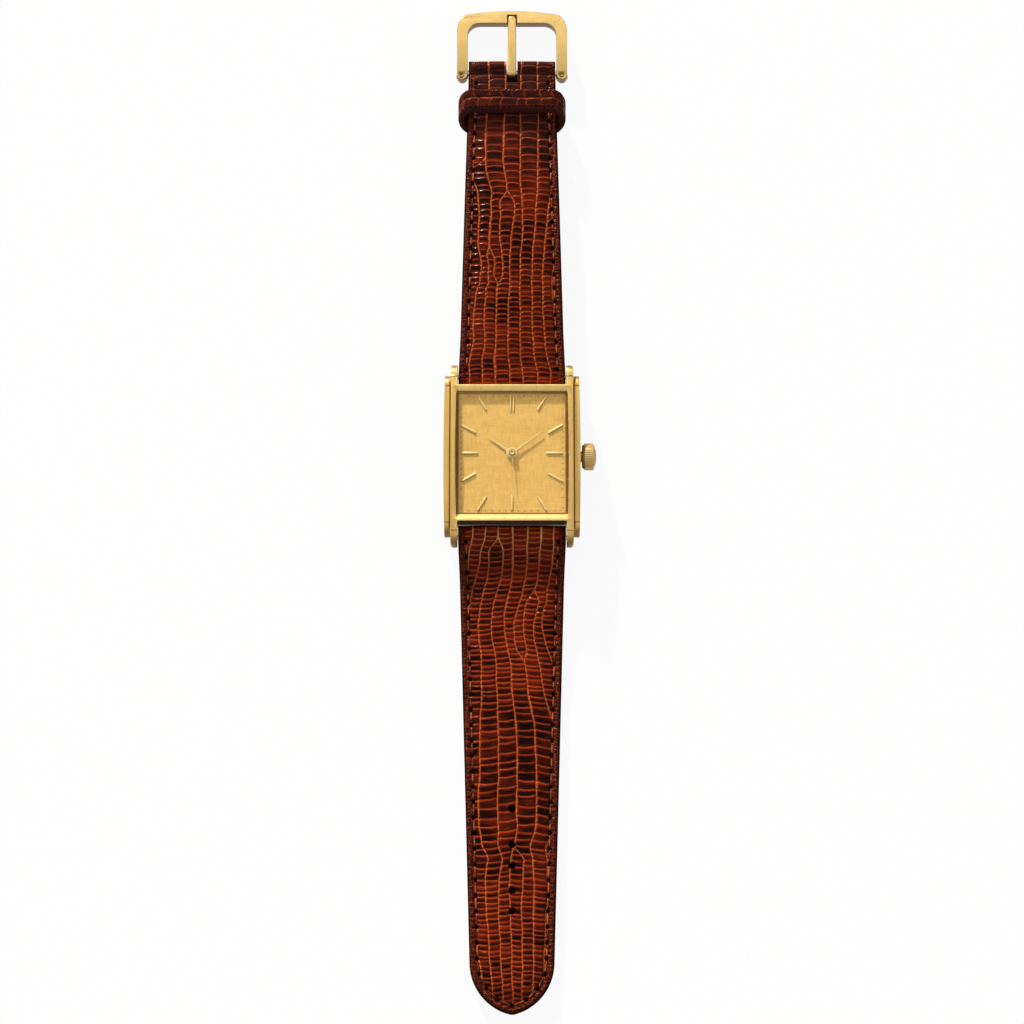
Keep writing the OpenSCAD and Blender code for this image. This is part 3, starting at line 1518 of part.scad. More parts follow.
module buckle_tongue() {
    mid = buckle_curve;
    reach = buckle_reach - 1.0;
    color(gold) difference() {
        union() {
            translate([-tongue_w / 2, buckle_y, buckle_z]) rotate([0, 90, 0])
                cylinder(r = tongue_ring_r, h = tongue_w);
            intersection() {
                wrist_band(mid + 0.15, mid + buckle_t / 2);
                linear_extrude(far) union() {
                    translate([-tongue_w / 2, buckle_y]) square([tongue_w, reach - tongue_w / 2]);
                    translate([0, buckle_y + reach - tongue_w / 2]) circle(r = tongue_w / 2);
                }
            }
        }
        translate([-far, buckle_y, buckle_z]) rotate([0, 90, 0]) cylinder(r = buckle_bar_r + fit, h = 2 * far);
    }
}

middle_case();
case_back();
back_gasket();
crystal();
crystal_gasket();
movement_ring();
crown_tube();
dial();
hour_markers();
mainplate();
barrel_bridge();
train_bridge();
pallet_bridge();
balance_cock();
regulator();
jewels();
bridge_screws();
click_spring();
setting_lever_spring();
barrel();
barrel_cover();
mainspring();
barrel_arbor();
ratchet_wheel();
ratchet_screw();
crown_wheel();
click();
centre_wheel();
cannon_pinion();
third_wheel();
fourth_wheel();
escape_wheel();
pallet_fork();
balance_wheel();
roller();
hairspring();
minute_wheel();
hour_wheel();
setting_wheel();
winding_stem();
winding_pinion();
sliding_pinion();
setting_lever();
yoke();
crown();
crown_gasket();
hour_hand();
minute_hand();
seconds_hand();
spring_bar_12();
spring_bar_6();
strap_12_upper();
strap_12_lining();
strap_6_upper();
strap_6_lining();
keeper();
buckle_frame();
buckle_bar();
buckle_tongue();
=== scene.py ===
# %% [markdown]
# # A rectangular gold watch on a lizard strap
# The metal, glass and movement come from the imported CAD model. This lesson gives every piece its finish,
# and builds the pieces that CAD leaves plain: leather, stitching, keeper, minute ticks and softened edges.
# The frame is loaded first, and nothing in it is moved: +X points to the crown, +Y to twelve o'clock.

# %% Load the frame
import json

import bmesh
import bpy
import numpy as np
from mathutils import Matrix, Vector


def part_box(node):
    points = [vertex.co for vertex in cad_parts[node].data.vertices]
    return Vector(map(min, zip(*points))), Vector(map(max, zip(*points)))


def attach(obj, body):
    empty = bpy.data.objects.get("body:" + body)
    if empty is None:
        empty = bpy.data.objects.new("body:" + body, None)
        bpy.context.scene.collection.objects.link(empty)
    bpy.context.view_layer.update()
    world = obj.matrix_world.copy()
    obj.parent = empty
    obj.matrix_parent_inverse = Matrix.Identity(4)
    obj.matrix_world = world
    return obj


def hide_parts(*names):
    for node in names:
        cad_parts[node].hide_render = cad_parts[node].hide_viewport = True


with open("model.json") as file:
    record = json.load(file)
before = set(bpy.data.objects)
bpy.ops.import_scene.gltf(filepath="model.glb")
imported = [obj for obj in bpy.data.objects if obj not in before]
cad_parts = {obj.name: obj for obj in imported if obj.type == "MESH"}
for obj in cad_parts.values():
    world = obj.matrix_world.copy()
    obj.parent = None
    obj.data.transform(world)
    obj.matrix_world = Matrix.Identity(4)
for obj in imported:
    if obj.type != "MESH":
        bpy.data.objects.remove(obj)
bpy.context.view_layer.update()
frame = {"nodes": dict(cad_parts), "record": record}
MM = 0.001


def node_box(name):
    """A CAD node's lowest and highest corner, in millimetres."""
    low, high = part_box(name)
    return np.array(low) / MM, np.array(high) / MM


# %% [markdown]
# ## Camera
# The photograph looks down on the watch from the strap's tail, 14 degrees off the vertical, through a long
# lens. The camera stands where the lines of case and strap agree with it.

# %% Camera
scene = bpy.context.scene
tilt = 14.0
camera_data = bpy.data.cameras.new("camera")
camera_data.lens = 114.07
camera_data.sensor_width = 36.0
camera = bpy.data.objects.new("camera", camera_data)
camera.location = (0.0, -0.1550, 0.5822)
camera.rotation_euler = (np.radians(tilt), 0.0, 0.0)
scene.collection.objects.link(camera)
scene.camera = camera
scene.view_settings.view_transform = "Standard"

# %% [markdown]
# ## Building materials in code
# A material is a tree of nodes. One short helper adds a node, sets what is a plain value and links what
# is another node's output, so that each finish below reads as a list of its layers.

# %% Node helpers


def add_node(tree, kind, links=None, **settings):
    """A new node: settings are its own choices, links its inputs by name or number."""
    node = tree.nodes.new(kind)
    for key, value in settings.items():
        setattr(node, key, value)
    for key, value in (links or {}).items():
        socket = node.inputs[key]
        if isinstance(value, bpy.types.NodeSocket):
            tree.links.new(value, socket)
        else:
            socket.default_value = value
    return node


def maths(tree, operation, a, b=0.0, c=0.0, clamp=False):
    """One sum on values or sockets. MULTIPLY_ADD gives a * b + c."""
    node = add_node(tree, "ShaderNodeMath", {0: a, 1: b, 2: c}, operation=operation, use_clamp=clamp)
    return node.outputs[0]


def ramp(tree, value, low, high, out_low=0.0, out_high=1.0):
    """Maps value from low..high to out_low..out_high with soft ends."""
    limits = {"Value": value, "From Min": low, "From Max": high, "To Min": out_low, "To Max": out_high}
    return add_node(tree, "ShaderNodeMapRange", limits, interpolation_type="SMOOTHSTEP").outputs["Result"]


def mix(tree, factor, a, b):
    """Colour a where factor is 0, colour b where it is 1."""
    node = add_node(tree, "ShaderNodeMix", data_type="RGBA", blend_type="MIX")
    for key, value in ((0, factor), (6, a), (7, b)):
        if isinstance(value, bpy.types.NodeSocket):
            tree.links.new(value, node.inputs[key])
        else:
            node.inputs[key].default_value = value
    return node.outputs[2]


def attribute(tree, name):
    """A value that the mesh carries on its points or faces."""
    return add_node(tree, "ShaderNodeAttribute", attribute_name=name).outputs["Fac"]


def rgb(red, green, blue):
    """A colour as read off a screen, 0 to 255, turned into the linear values that shaders use."""
    shares = np.array([red, green, blue]) / 255.0
    linear = np.where(shares <= 0.04045, shares / 12.92, ((shares + 0.055) / 1.055) ** 2.4)
    return (*linear.tolist(), 1.0)


def new_material(name, **plain):
    """A material with one Principled shader, whose plain sockets are set at once."""
    material = bpy.data.materials.new(name)
    material.use_nodes = True
    tree = material.node_tree
    shader = tree.nodes["Principled BSDF"]
    for key, value in plain.items():
        shader.inputs[key.replace("_", " ").title().replace("Ior", "IOR")].default_value = value
    return material, tree, shader


def object_point(tree, scale):
    """Object coordinates in millimetres, stretched by scale."""
    point = add_node(tree, "ShaderNodeTexCoord").outputs["Object"]
    return add_node(tree, "ShaderNodeMapping", {"Vector": point, "Scale": [s / MM for s in scale]}).outputs[0]


def face_direction(tree):
    """The X, Y and Z of the way each face looks, in the piece's own axes."""
    normal = add_node(tree, "ShaderNodeTexCoord").outputs["Normal"]
    return add_node(tree, "ShaderNodeSeparateXYZ", {0: normal}).outputs


def noise(tree, point, scale=1.0, detail=3.0, roughness=0.5):
    """Cloudy noise round 0.5."""
    sizes = {"Vector": point, "Scale": scale, "Detail": detail, "Roughness": roughness}
    return add_node(tree, "ShaderNodeTexNoise", sizes).outputs["Fac"]


def bump(tree, height, distance_mm, strength=1.0):
    """Turns a height of 0 to 1 into relief of that many millimetres."""
    relief = {"Height": height, "Distance": distance_mm * MM, "Strength": strength}
    return add_node(tree, "ShaderNodeBump", relief).outputs["Normal"]


# %% [markdown]
# ## Floor, world and lamps
# The watch lies on a white table. The camera and anything shiny see the table almost as plain white, while
# a small share of it stays a real lit surface, so that the watch still drops a faint shadow. A low lamp
# beyond the buckle, a little to the left, gives the crisp shadow on the dial, and a broad panel at the upper
# left brightens what faces up.

# %% Stage
table_half, table_drop = 3.0, 0.02 * MM
glow_share = 0.93
white = (1, 1, 1, 1)
floor_mesh = bpy.data.meshes.new("table")
corners = [(x * table_half, y * table_half, 0) for x, y in ((-1, -1), (1, -1), (1, 1), (-1, 1))]
floor_mesh.from_pydata(corners, [], [(0, 1, 2, 3)])
floor_mesh.transform(Matrix.Translation((0, 0, -table_drop)))
floor = bpy.data.objects.new("table", floor_mesh)
scene.collection.objects.link(floor)


def seen_directly(tree):
    """1 for what the camera, a reflection or a view through glass sees, 0 for the light on things."""
    path = add_node(tree, "ShaderNodeLightPath")
    shiny = maths(tree, "MAXIMUM", path.outputs["Is Camera Ray"], path.outputs["Is Glossy Ray"])
    return maths(tree, "MAXIMUM", shiny, path.outputs["Is Transmission Ray"])


table_white, tree, shader = new_material("table_white", base_color=rgb(238, 238, 238), roughness=0.9)
glow = add_node(tree, "ShaderNodeEmission", {"Color": white, "Strength": 1.0})
share = maths(tree, "MULTIPLY", seen_directly(tree), glow_share)
both = add_node(tree, "ShaderNodeMixShader", {0: share, 1: shader.outputs[0], 2: glow.outputs[0]})
tree.links.new(both.outputs[0], tree.nodes["Material Output"].inputs["Surface"])
floor_mesh.materials.append(table_white)

world = bpy.data.worlds.new("studio")
scene.world = world
world.use_nodes = True
tree = world.node_tree
soft_light = tree.nodes["Background"]
soft_light.inputs["Color"].default_value = (1.0, 0.99, 0.97, 1.0)
soft_light.inputs["Strength"].default_value = 0.40
backdrop = add_node(tree, "ShaderNodeBackground", {"Color": white, "Strength": 1.0})
both = add_node(tree, "ShaderNodeMixShader", {0: seen_directly(tree), 1: soft_light.outputs[0],
                2: backdrop.outputs[0]})
tree.links.new(both.outputs[0], tree.nodes["World Output"].inputs["Surface"])


def aim(lamp, toward):
    """Turns a lamp so that its light goes that way."""
    lamp.rotation_euler = (-Vector(toward)).to_track_quat("Z", "Y").to_euler()


sun_data = bpy.data.lights.new("window", "SUN")
sun_data.energy = 6.7
sun_data.angle = np.radians(2.2)
sun_data.color = (1.0, 0.97, 0.92)
sun = bpy.data.objects.new("window", sun_data)
aim(sun, (0.28, -0.93, -0.245))
scene.collection.objects.link(sun)

panel_data = bpy.data.lights.new("panel", "AREA")
panel_data.shape = "RECTANGLE"
panel_data.size = 0.12
panel_data.size_y = 0.60
panel_data.energy = 0.35
panel = bpy.data.objects.new("panel", panel_data)
panel.location = (-0.56, 0.24, 0.80)
aim(panel, -panel.location)
scene.collection.objects.link(panel)

# %% [markdown]
# ## Gold
# Case, crown, hands and buckle are yellow gold with a fine satin brushing. The brushing is noise that is
# stretched along one direction, and it moves the roughness and a very low bump. Bevelled edges carry a face
# attribute for polish by wear, which lowers the roughness there, and for a painted highlight, which gives
# them the light tone. A pure metal would mirror the white studio from every side and lose its form. So the
# gold is metallic by about half, and faces that stand upright, or lean from the window or towards it, get a
# painted darker shade.

# %% Satin gold


def brushed_group():
    """A group for every brushed metal: streaks along one axis, cloudy stains and fine specks."""
    group = bpy.data.node_groups.new("brushed_metal", "ShaderNodeTree")
    for name, kind, value in (("Point", "NodeSocketVector", None), ("Streaks", "NodeSocketFloat", 1.0),
                              ("Clouds", "NodeSocketFloat", 1.0)):
        socket = group.interface.new_socket(name, in_out="INPUT", socket_type=kind)
        if value is not None:
            socket.default_value = value
    for name in ("Tone", "Roughness", "Height"):
        group.interface.new_socket(name, in_out="OUTPUT", socket_type="NodeSocketFloat")
    start = group.nodes.new("NodeGroupInput")
    end = group.nodes.new("NodeGroupOutput")
    point = start.outputs["Point"]
    streaks = noise(group, point, 1.0, 4.0, 0.6)
    clouds = noise(group, point, 0.06, 3.0, 0.55)
    specks = noise(group, point, 0.5, 2.0, 0.5)
    streak_part = maths(group, "MULTIPLY", maths(group, "SUBTRACT", streaks, 0.5), start.outputs["Streaks"])
    cloud_part = maths(group, "MULTIPLY", maths(group, "SUBTRACT", clouds, 0.5), start.outputs["Clouds"])
    speck_part = maths(group, "MULTIPLY", maths(group, "SUBTRACT", specks, 0.5), start.outputs["Clouds"])
    tone = maths(group, "MULTIPLY_ADD", streak_part, 0.35, 0.5)
    tone = maths(group, "MULTIPLY_ADD", cloud_part, 0.9, tone)
    group.links.new(maths(group, "MULTIPLY_ADD", speck_part, 0.3, tone, clamp=True), end.inputs["Tone"])
    rough = maths(group, "MULTIPLY_ADD", cloud_part, 0.4, 0.5)
    group.links.new(maths(group, "MULTIPLY_ADD", streak_part, 0.30, rough), end.inputs["Roughness"])
    group.links.new(streaks, end.inputs["Height"])
    return group


def shaded_group():
    """A group that finds where painted shade goes: faces that stand upright, or lean along the way of the
    window's light.
    """
    group = bpy.data.node_groups.new("shaded_faces", "ShaderNodeTree")
    for name in ("X", "Y", "Z"):
        group.interface.new_socket(name, in_out="INPUT", socket_type="NodeSocketFloat")
    group.interface.new_socket("Shaded", in_out="OUTPUT", socket_type="NodeSocketFloat")
    start = group.nodes.new("NodeGroupInput")
    end = group.nodes.new("NodeGroupOutput")
    away = maths(group, "MULTIPLY", start.outputs["Y"], -0.9)
    away = maths(group, "MULTIPLY_ADD", start.outputs["X"], 0.4, away)
    leaning = ramp(group, maths(group, "ABSOLUTE", away), 0.20, 0.65, 0.0, 0.8)
    upright = ramp(group, start.outputs["Z"], 0.15, 0.85, 0.9, 0.0)
    group.links.new(maths(group, "MAXIMUM", upright, leaning), end.inputs["Shaded"])
    return group


brushed = brushed_group()
shaded_faces = shaded_group()


def brushed_metal(name, dark, light, rough, along, streak=1.0, cloud=1.0, wear_and_highlight=0.16, metallic=1.0,
                  side=None, extra=None):
    """Brushed metal: dark and light are its two tones, along the streak scales on X, Y and Z, side the
    painted shade colour of its upright faces and of those that lean along the window's light, and extra a
    step that changes the colour once more."""
    depth = 0.004
    material, tree, shader = new_material(name, metallic=metallic)
    group = add_node(tree, "ShaderNodeGroup", node_tree=brushed)
    tree.links.new(object_point(tree, along), group.inputs["Point"])
    group.inputs["Streaks"].default_value = streak
    group.inputs["Clouds"].default_value = cloud
    edge = attribute(tree, "wear_and_highlight")
    colour = mix(tree, group.outputs["Tone"], dark, light)
    # Bevelled faces lean towards the light tone: polish by wear and a painted highlight.
    colour = mix(tree, maths(tree, "MULTIPLY", edge, 0.5), colour, light)
    if side is not None:
        facing = face_direction(tree)
        axes = {axis: facing[axis] for axis in ("X", "Y", "Z")}
        shaded = add_node(tree, "ShaderNodeGroup", axes, node_tree=shaded_faces)
        # Painted shade: upright faces, and faces that lean from or towards the window, take the side colour.
        colour = mix(tree, shaded.outputs["Shaded"], colour, side)
    if extra is not None:
        colour = extra(tree, colour)
    tree.links.new(colour, shader.inputs["Base Color"])
    change = maths(tree, "SUBTRACT", group.outputs["Roughness"], 0.5)
    level = maths(tree, "ADD", maths(tree, "MULTIPLY_ADD", edge, -wear_and_highlight, rough), change, clamp=True)
    tree.links.new(level, shader.inputs["Roughness"])
    tree.links.new(bump(tree, group.outputs["Height"], depth), shader.inputs["Normal"])
    return material


def painted_bar_highlight(tree, colour):
    """Paints a highlight on the two bars across the case, a lighter colour on their faces except those that
    look towards six o'clock.
    """
    bar_starts, bar_full = 11.3, 11.8
    bar_half, bar_end = 9.9, 10.5
    strongest = 0.6
    place = add_node(tree, "ShaderNodeSeparateXYZ", {0: object_point(tree, (1, 1, 1))})
    beyond = ramp(tree, maths(tree, "ABSOLUTE", place.outputs["Y"]), bar_starts, bar_full)
    along = maths(tree, "MULTIPLY", beyond, ramp(tree, face_direction(tree)["Y"], -0.55, -0.15))
    inside = ramp(tree, maths(tree, "ABSOLUTE", place.outputs["X"]), bar_half, bar_end, 1.0, 0.0)
    share = maths(tree, "MULTIPLY", maths(tree, "MULTIPLY", along, inside), strongest)
    return mix(tree, share, colour, rgb(255, 222, 140))


def painted_front_shade(tree, colour):
    """Paints a darker shade on the faces of the buckle that look along its own +Y, the arched front."""
    shade_share = ramp(tree, face_direction(tree)["Y"], 0.02, 0.40, 0.0, 0.75)
    return mix(tree, shade_share, colour, rgb(138, 106, 54))


def hub_painted_shade(tree, colour):
    """Painted shade darkens the steps of the hub, where the hands' tubes sit in one another, and the bore at
    its middle.
    """
    ring_starts, ring_full, ring_fades, ring_ends = 0.42, 0.50, 0.58, 0.66
    bore_full, bore_ends, strongest = 0.12, 0.22, 0.8
    place = add_node(tree, "ShaderNodeVectorMath", {0: object_point(tree, (1, 1, 0))}, operation="LENGTH")
    radius = place.outputs["Value"]
    ring = maths(tree, "MULTIPLY", ramp(tree, radius, ring_starts, ring_full),
                 ramp(tree, radius, ring_fades, ring_ends, 1.0, 0.0))
    dark = maths(tree, "MAXIMUM", ring, ramp(tree, radius, bore_full, bore_ends, 1.0, 0.0))
    return mix(tree, maths(tree, "MULTIPLY", dark, strongest), colour, rgb(92, 62, 26))


# The third colour of each gold is painted shade for its upright and leaning faces.
gold_dark, gold_light, gold_painted_shade = rgb(178, 138, 68), rgb(232, 194, 112), rgb(104, 72, 26)
case_gold = brushed_metal("case_gold", gold_dark, gold_light, 0.34, (14, 1.6, 6), cloud=0.7, side=gold_painted_shade,
                          metallic=0.62, extra=painted_bar_highlight)
buckle_gold = brushed_metal("buckle_gold", rgb(196, 156, 84), rgb(242, 208, 132), 0.36, (5, 5, 5), cloud=0.35,
                            side=gold_painted_shade, metallic=0.62, extra=painted_front_shade)
hand_gold = brushed_metal("hand_gold", rgb(205, 165, 84), rgb(250, 222, 148), 0.48, (10, 10, 10), cloud=0.3,
                          wear_and_highlight=0.05, side=rgb(96, 62, 22), metallic=0.45, extra=hub_painted_shade)
crown_gold = brushed_metal("crown_gold", rgb(214, 176, 102), rgb(252, 224, 150), 0.34, (3, 6, 6), cloud=0.5,
                           side=rgb(150, 110, 52), metallic=0.62)
print("gold finishes:", case_gold.name, buckle_gold.name, hand_gold.name, crown_gold.name)

# %% [markdown]
# ## Softened metal pieces
# CAD edges are knife sharp, and real ones catch a line of light. A copy of the node is merged, its flat faces
# joined, and its longer outlines bevelled where they are sharper than 30 degrees. The bevels are 0.1 to 0.3
# mm wide on the case and the buckle, and far less on the hands. Blender's own clamping would shrink them to
# nothing on such meshes, so it is off, and tiny outlines are left sharp instead. The bevel's faces carry an
# attribute for polish by wear and a painted highlight, and weighted normals keep the large faces flat.
# Sorting the finished copy by place gives the same mesh each run.

# %% Softened copies
body_of = {n: body for body, members in frame["record"]["behaviour"]["bodies"].items() for n in members}
slot_of = {part["node"]: part["material_slot"] for part in frame["record"]["subparts"]}


def finish_piece(mesh, name, body, material=None):
    """Puts a mesh in the scene as a piece that rides on a body."""
    piece = bpy.data.objects.new(name, mesh)
    scene.collection.objects.link(piece)
    if material is not None:
        mesh.materials.append(material)
    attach(piece, body)
    return piece


def large_outlines(edges, size):
    """The edges of outlines longer than size. Small holes stay sharp, as a wide bevel would fill them."""
    left, kept = set(edges), set()
    while left:
        group, open_ends = set(), [left.pop()]
        while open_ends:
            edge = open_ends.pop()
            group.add(edge)
            joined = {other for vert in edge.verts for other in vert.link_edges} & left
            left -= joined
            open_ends += joined
        points = np.array([v.co for edge in group for v in edge.verts])
        if np.linalg.norm(points.max(axis=0) - points.min(axis=0)) > size:
            kept |= group
    return [edge for edge in edges if edge in kept]


def put_in_order(shape):
    """Sorts a shape by place, because a bevel adds its points and faces in another order on each run."""
    for number, vert in enumerate(sorted(shape.verts, key=lambda vert: tuple(vert.co))):
        vert.index = number
    shape.verts.sort()
    for parts in (shape.edges, shape.faces):
        for number, part in enumerate(sorted(parts, key=lambda part: sorted(v.index for v in part.verts))):
            part.index = number
        parts.sort()


def softened(node, width, material):
    """A copy of a CAD node with bevelled edges, which stands for the node."""
    sharp_angle, smooth_angle, flat_angle = np.radians(30), np.radians(36), np.radians(0.6)
    smallest_outline = 2.0 * MM
    shape = bmesh.new()
    shape.from_mesh(frame["nodes"][node].data)
    bmesh.ops.remove_doubles(shape, verts=shape.verts, dist=0.0005 * MM)
    bmesh.ops.dissolve_limit(shape, angle_limit=flat_angle, verts=shape.verts, edges=shape.edges)
    sharp = [e for e in shape.edges if len(e.link_faces) == 2 and e.calc_face_angle() > sharp_angle]
    outlines = large_outlines(sharp, smallest_outline)
    wear_and_highlight = shape.faces.layers.float.new("wear_and_highlight")
    for face in shape.faces:
        face.smooth = True
    made = bmesh.ops.bevel(shape, geom=outlines, offset=width * MM, segments=3, profile=0.6,
                           affect="EDGES", clamp_overlap=False, loop_slide=True)
    for face in made["faces"]:
        face.smooth = True
        face[wear_and_highlight] = 1.0
    bmesh.ops.triangulate(shape, faces=[f for f in shape.faces if len(f.verts) > 4])
    put_in_order(shape)
    mesh = bpy.data.meshes.new(node + "_softened")
    shape.to_mesh(mesh)
    shape.free()
    mesh.set_sharp_from_angle(angle=smooth_angle)
    piece = finish_piece(mesh, node + "_softened", body_of[node], material)
    weighted = piece.modifiers.new("flat_faces", "WEIGHTED_NORMAL")
    weighted.keep_sharp = True
    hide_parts(node)
    print(node, "edges softened:", len(outlines), "faces:", len(mesh.polygons))


for node, width, material in (
    ("middle_case", 0.11, case_gold), ("case_back", 0.10, case_gold), ("crown", 0.03, crown_gold),
    ("buckle_frame", 0.12, buckle_gold), ("buckle_tongue", 0.30, buckle_gold),
    ("hour_hand", 0.02, hand_gold), ("minute_hand", 0.02, hand_gold), ("seconds_hand", 0.015, hand_gold),
    ("hour_markers", 0.07, hand_gold),
):
    softened(node, width, material)

# %% [markdown]
# ## Dial
# The dial is satin gold with a fine horizontal grain, a fainter upright one and cloudy ageing. It is
# lacquered and hardly metallic, so that the shadow of the bezel shows on it.

# %% Dial finish
dial_gold, tree, shader = new_material("dial_gold", metallic=0.12, specular_ior_level=0.2)
grain = noise(tree, object_point(tree, (0.35, 9, 1)), 1.0, 5.0, 0.65)
weave = noise(tree, object_point(tree, (7, 0.6, 1)), 1.0, 3.0, 0.5)
stains = noise(tree, object_point(tree, (0.22, 0.5, 1)), 1.0, 4.0, 0.6)
tone = maths(tree, "MULTIPLY_ADD", weave, 0.55, maths(tree, "MULTIPLY", stains, 0.40))
tone = maths(tree, "MULTIPLY_ADD", grain, 0.7, tone)
colour = mix(tree, ramp(tree, tone, 0.45, 1.20), rgb(214, 164, 78), rgb(246, 204, 116))
tree.links.new(colour, shader.inputs["Base Color"])
tree.links.new(ramp(tree, grain, 0.3, 0.7, 0.42, 0.58), shader.inputs["Roughness"])
tree.links.new(bump(tree, grain, 0.012), shader.inputs["Normal"])


def dress(node, material):
    """Gives a CAD node that stays a better material."""
    mesh = frame["nodes"][node].data
    mesh.materials.clear()
    mesh.materials.append(material)


dress("dial", dial_gold)

# %% [markdown]
# ## Minute ticks
# Four short printed ticks stand between two hours. They repeat round a rectangle, so Geometry Nodes place
# them: sixty points are pushed out to the rectangle, every fifth is left out for the hour markers, and a
# thin bar is put on each, turned to the centre.

# %% Ticks by Geometry Nodes


def geometry_tree(name, sizes):
    """A Geometry Nodes tree with named inputs for its sizes."""
    tree = bpy.data.node_groups.new(name, "GeometryNodeTree")
    tree.interface.new_socket("Geometry", in_out="INPUT", socket_type="NodeSocketGeometry")
    keys = {}
    for label, value in sizes.items():
        kind = "NodeSocketInt" if isinstance(value, int) else "NodeSocketFloat"
        socket = tree.interface.new_socket(label, in_out="INPUT", socket_type=kind)
        socket.default_value = value
        keys[label] = socket.identifier
    tree.interface.new_socket("Geometry", in_out="OUTPUT", socket_type="NodeSocketGeometry")
    start = tree.nodes.new("NodeGroupInput")
    end = tree.nodes.new("NodeGroupOutput")
    return tree, start, end, keys


def grown(mesh, name, tree, keys, sizes, body):
    """Runs a tree on a mesh and keeps the result as a plain piece that rides on a body."""
    seed = bpy.data.objects.new(name + "_seed", mesh)
    scene.collection.objects.link(seed)
    modifier = seed.modifiers.new("growth", "NODES")
    modifier.node_group = tree
    for label, value in sizes.items():
        modifier[keys[label]] = value
    bpy.context.view_layer.update()
    graph = bpy.context.evaluated_depsgraph_get()
    result = bpy.data.meshes.new_from_object(seed.evaluated_get(graph), depsgraph=graph)
    seed.modifiers.remove(modifier)
    bpy.data.objects.remove(seed)
    result.name = name
    piece = finish_piece(result, name, body)
    print(name, "faces:", len(result.polygons))


tick_ink, tree, shader = new_material("tick_ink", roughness=0.45)
colour = mix(tree, noise(tree, object_point(tree, (6, 6, 6))), rgb(120, 84, 38), rgb(150, 110, 55))
tree.links.new(colour, shader.inputs["Base Color"])

minutes, minutes_between_hours = 60, 5.0
tick_height = 0.012
tick_level = round(node_box("dial")[1][2], 3) + tick_height / 2
tick_sizes = {"Half Width": 9.35 * MM, "Half Length": 10.95 * MM, "Tick Length": 0.42 * MM,
              "Tick Width": 0.11 * MM, "Height": tick_height * MM, "Level": tick_level * MM, "Count": minutes}
tree, start, end, keys = geometry_tree("minute_ticks", tick_sizes)
size = start.outputs
points = add_node(tree, "GeometryNodePoints", {"Count": size["Count"]})
index = tree.nodes.new("GeometryNodeInputIndex").outputs[0]
turn = maths(tree, "MULTIPLY", maths(tree, "DIVIDE", index, size["Count"]), 2 * np.pi)
sine, cosine = maths(tree, "SINE", turn), maths(tree, "COSINE", turn)
never_zero = 0.001
reach_x, reach_y = (
    maths(tree, "DIVIDE", size[half], maths(tree, "MAXIMUM", maths(tree, "ABSOLUTE", share), never_zero))
    for half, share in (("Half Width", sine), ("Half Length", cosine))
)
reach = maths(tree, "MINIMUM", reach_x, reach_y)
place = add_node(tree, "ShaderNodeCombineXYZ", {0: maths(tree, "MULTIPLY", sine, reach),
                 1: maths(tree, "MULTIPLY", cosine, reach), 2: size["Level"]})
moved = add_node(tree, "GeometryNodeSetPosition",
                 {"Geometry": points.outputs[0], "Position": place.outputs[0]})
hourly = add_node(tree, "FunctionNodeCompare", data_type="FLOAT", operation="LESS_THAN")
tree.links.new(maths(tree, "MODULO", index, minutes_between_hours), hourly.inputs[0])
hourly.inputs[1].default_value = 0.5
kept = add_node(tree, "GeometryNodeDeleteGeometry",
                {"Geometry": moved.outputs[0], "Selection": hourly.outputs[0]})
box_size = add_node(tree, "ShaderNodeCombineXYZ",
                    {0: size["Tick Width"], 1: size["Tick Length"], 2: size["Height"]})
tick = add_node(tree, "GeometryNodeMeshCube", {"Size": box_size.outputs[0]})
spin = add_node(tree, "ShaderNodeCombineXYZ", {2: maths(tree, "MULTIPLY", turn, -1.0)})
placed = add_node(tree, "GeometryNodeInstanceOnPoints",
                  {"Points": kept.outputs[0], "Instance": tick.outputs[0], "Rotation": spin.outputs[0]})
real = add_node(tree, "GeometryNodeRealizeInstances", {0: placed.outputs[0]})
inked = add_node(tree, "GeometryNodeSetMaterial", {0: real.outputs[0], "Material": tick_ink})
tree.links.new(inked.outputs[0], end.inputs[0])
grown(bpy.data.meshes.new("empty"), "minute_ticks", tree, keys, tick_sizes, "case")

# %% [markdown]
# ## Crystal and seals
# The crystal is clear mineral glass. Light has to reach the dial through it, so it is a glass shader that
# is mostly see-through: the rest gives the thin bright lines at its edges. The seals are dull rubber, and
# the crystal sits in a ring of amber nylon.

# %% Glass, rubber and nylon
crystal_glass, tree, shader = new_material("crystal_glass", base_color=white, transmission_weight=1.0,
                                           ior=1.45)
smears = noise(tree, object_point(tree, (0.4, 0.4, 0.4)), 1.0, 4.0)
tree.links.new(ramp(tree, smears, 0.3, 0.8, 0.0, 0.04), shader.inputs["Roughness"])
shader.inputs["Alpha"].default_value = 0.10
dress("crystal", crystal_glass)

seal_rubber, tree, shader = new_material("seal_rubber", roughness=0.6)
dust = noise(tree, object_point(tree, (3, 3, 3)), 1.0, 4.0)
tree.links.new(mix(tree, dust, rgb(18, 17, 16), rgb(44, 42, 40)), shader.inputs["Base Color"])
tree.links.new(bump(tree, dust, 0.01), shader.inputs["Normal"])
for node in ("back_gasket", "crown_gasket"):
    dress(node, seal_rubber)

seal_nylon, tree, shader = new_material("seal_nylon", roughness=0.4)
tree.links.new(mix(tree, noise(tree, object_point(tree, (3, 3, 3))), rgb(140, 100, 48), rgb(172, 128, 66)),
               shader.inputs["Base Color"])
dress("crystal_gasket", seal_nylon)

# %% [markdown]
# ## Movement metals
# The movement is closed in, yet each piece has its finish for whoever opens the case: nickelled bridges
# with waved stripes, grained plate, gilt wheels, grained and blued steel, and ruby. Most share the
# brushed group, each with its own tones and streak directions.

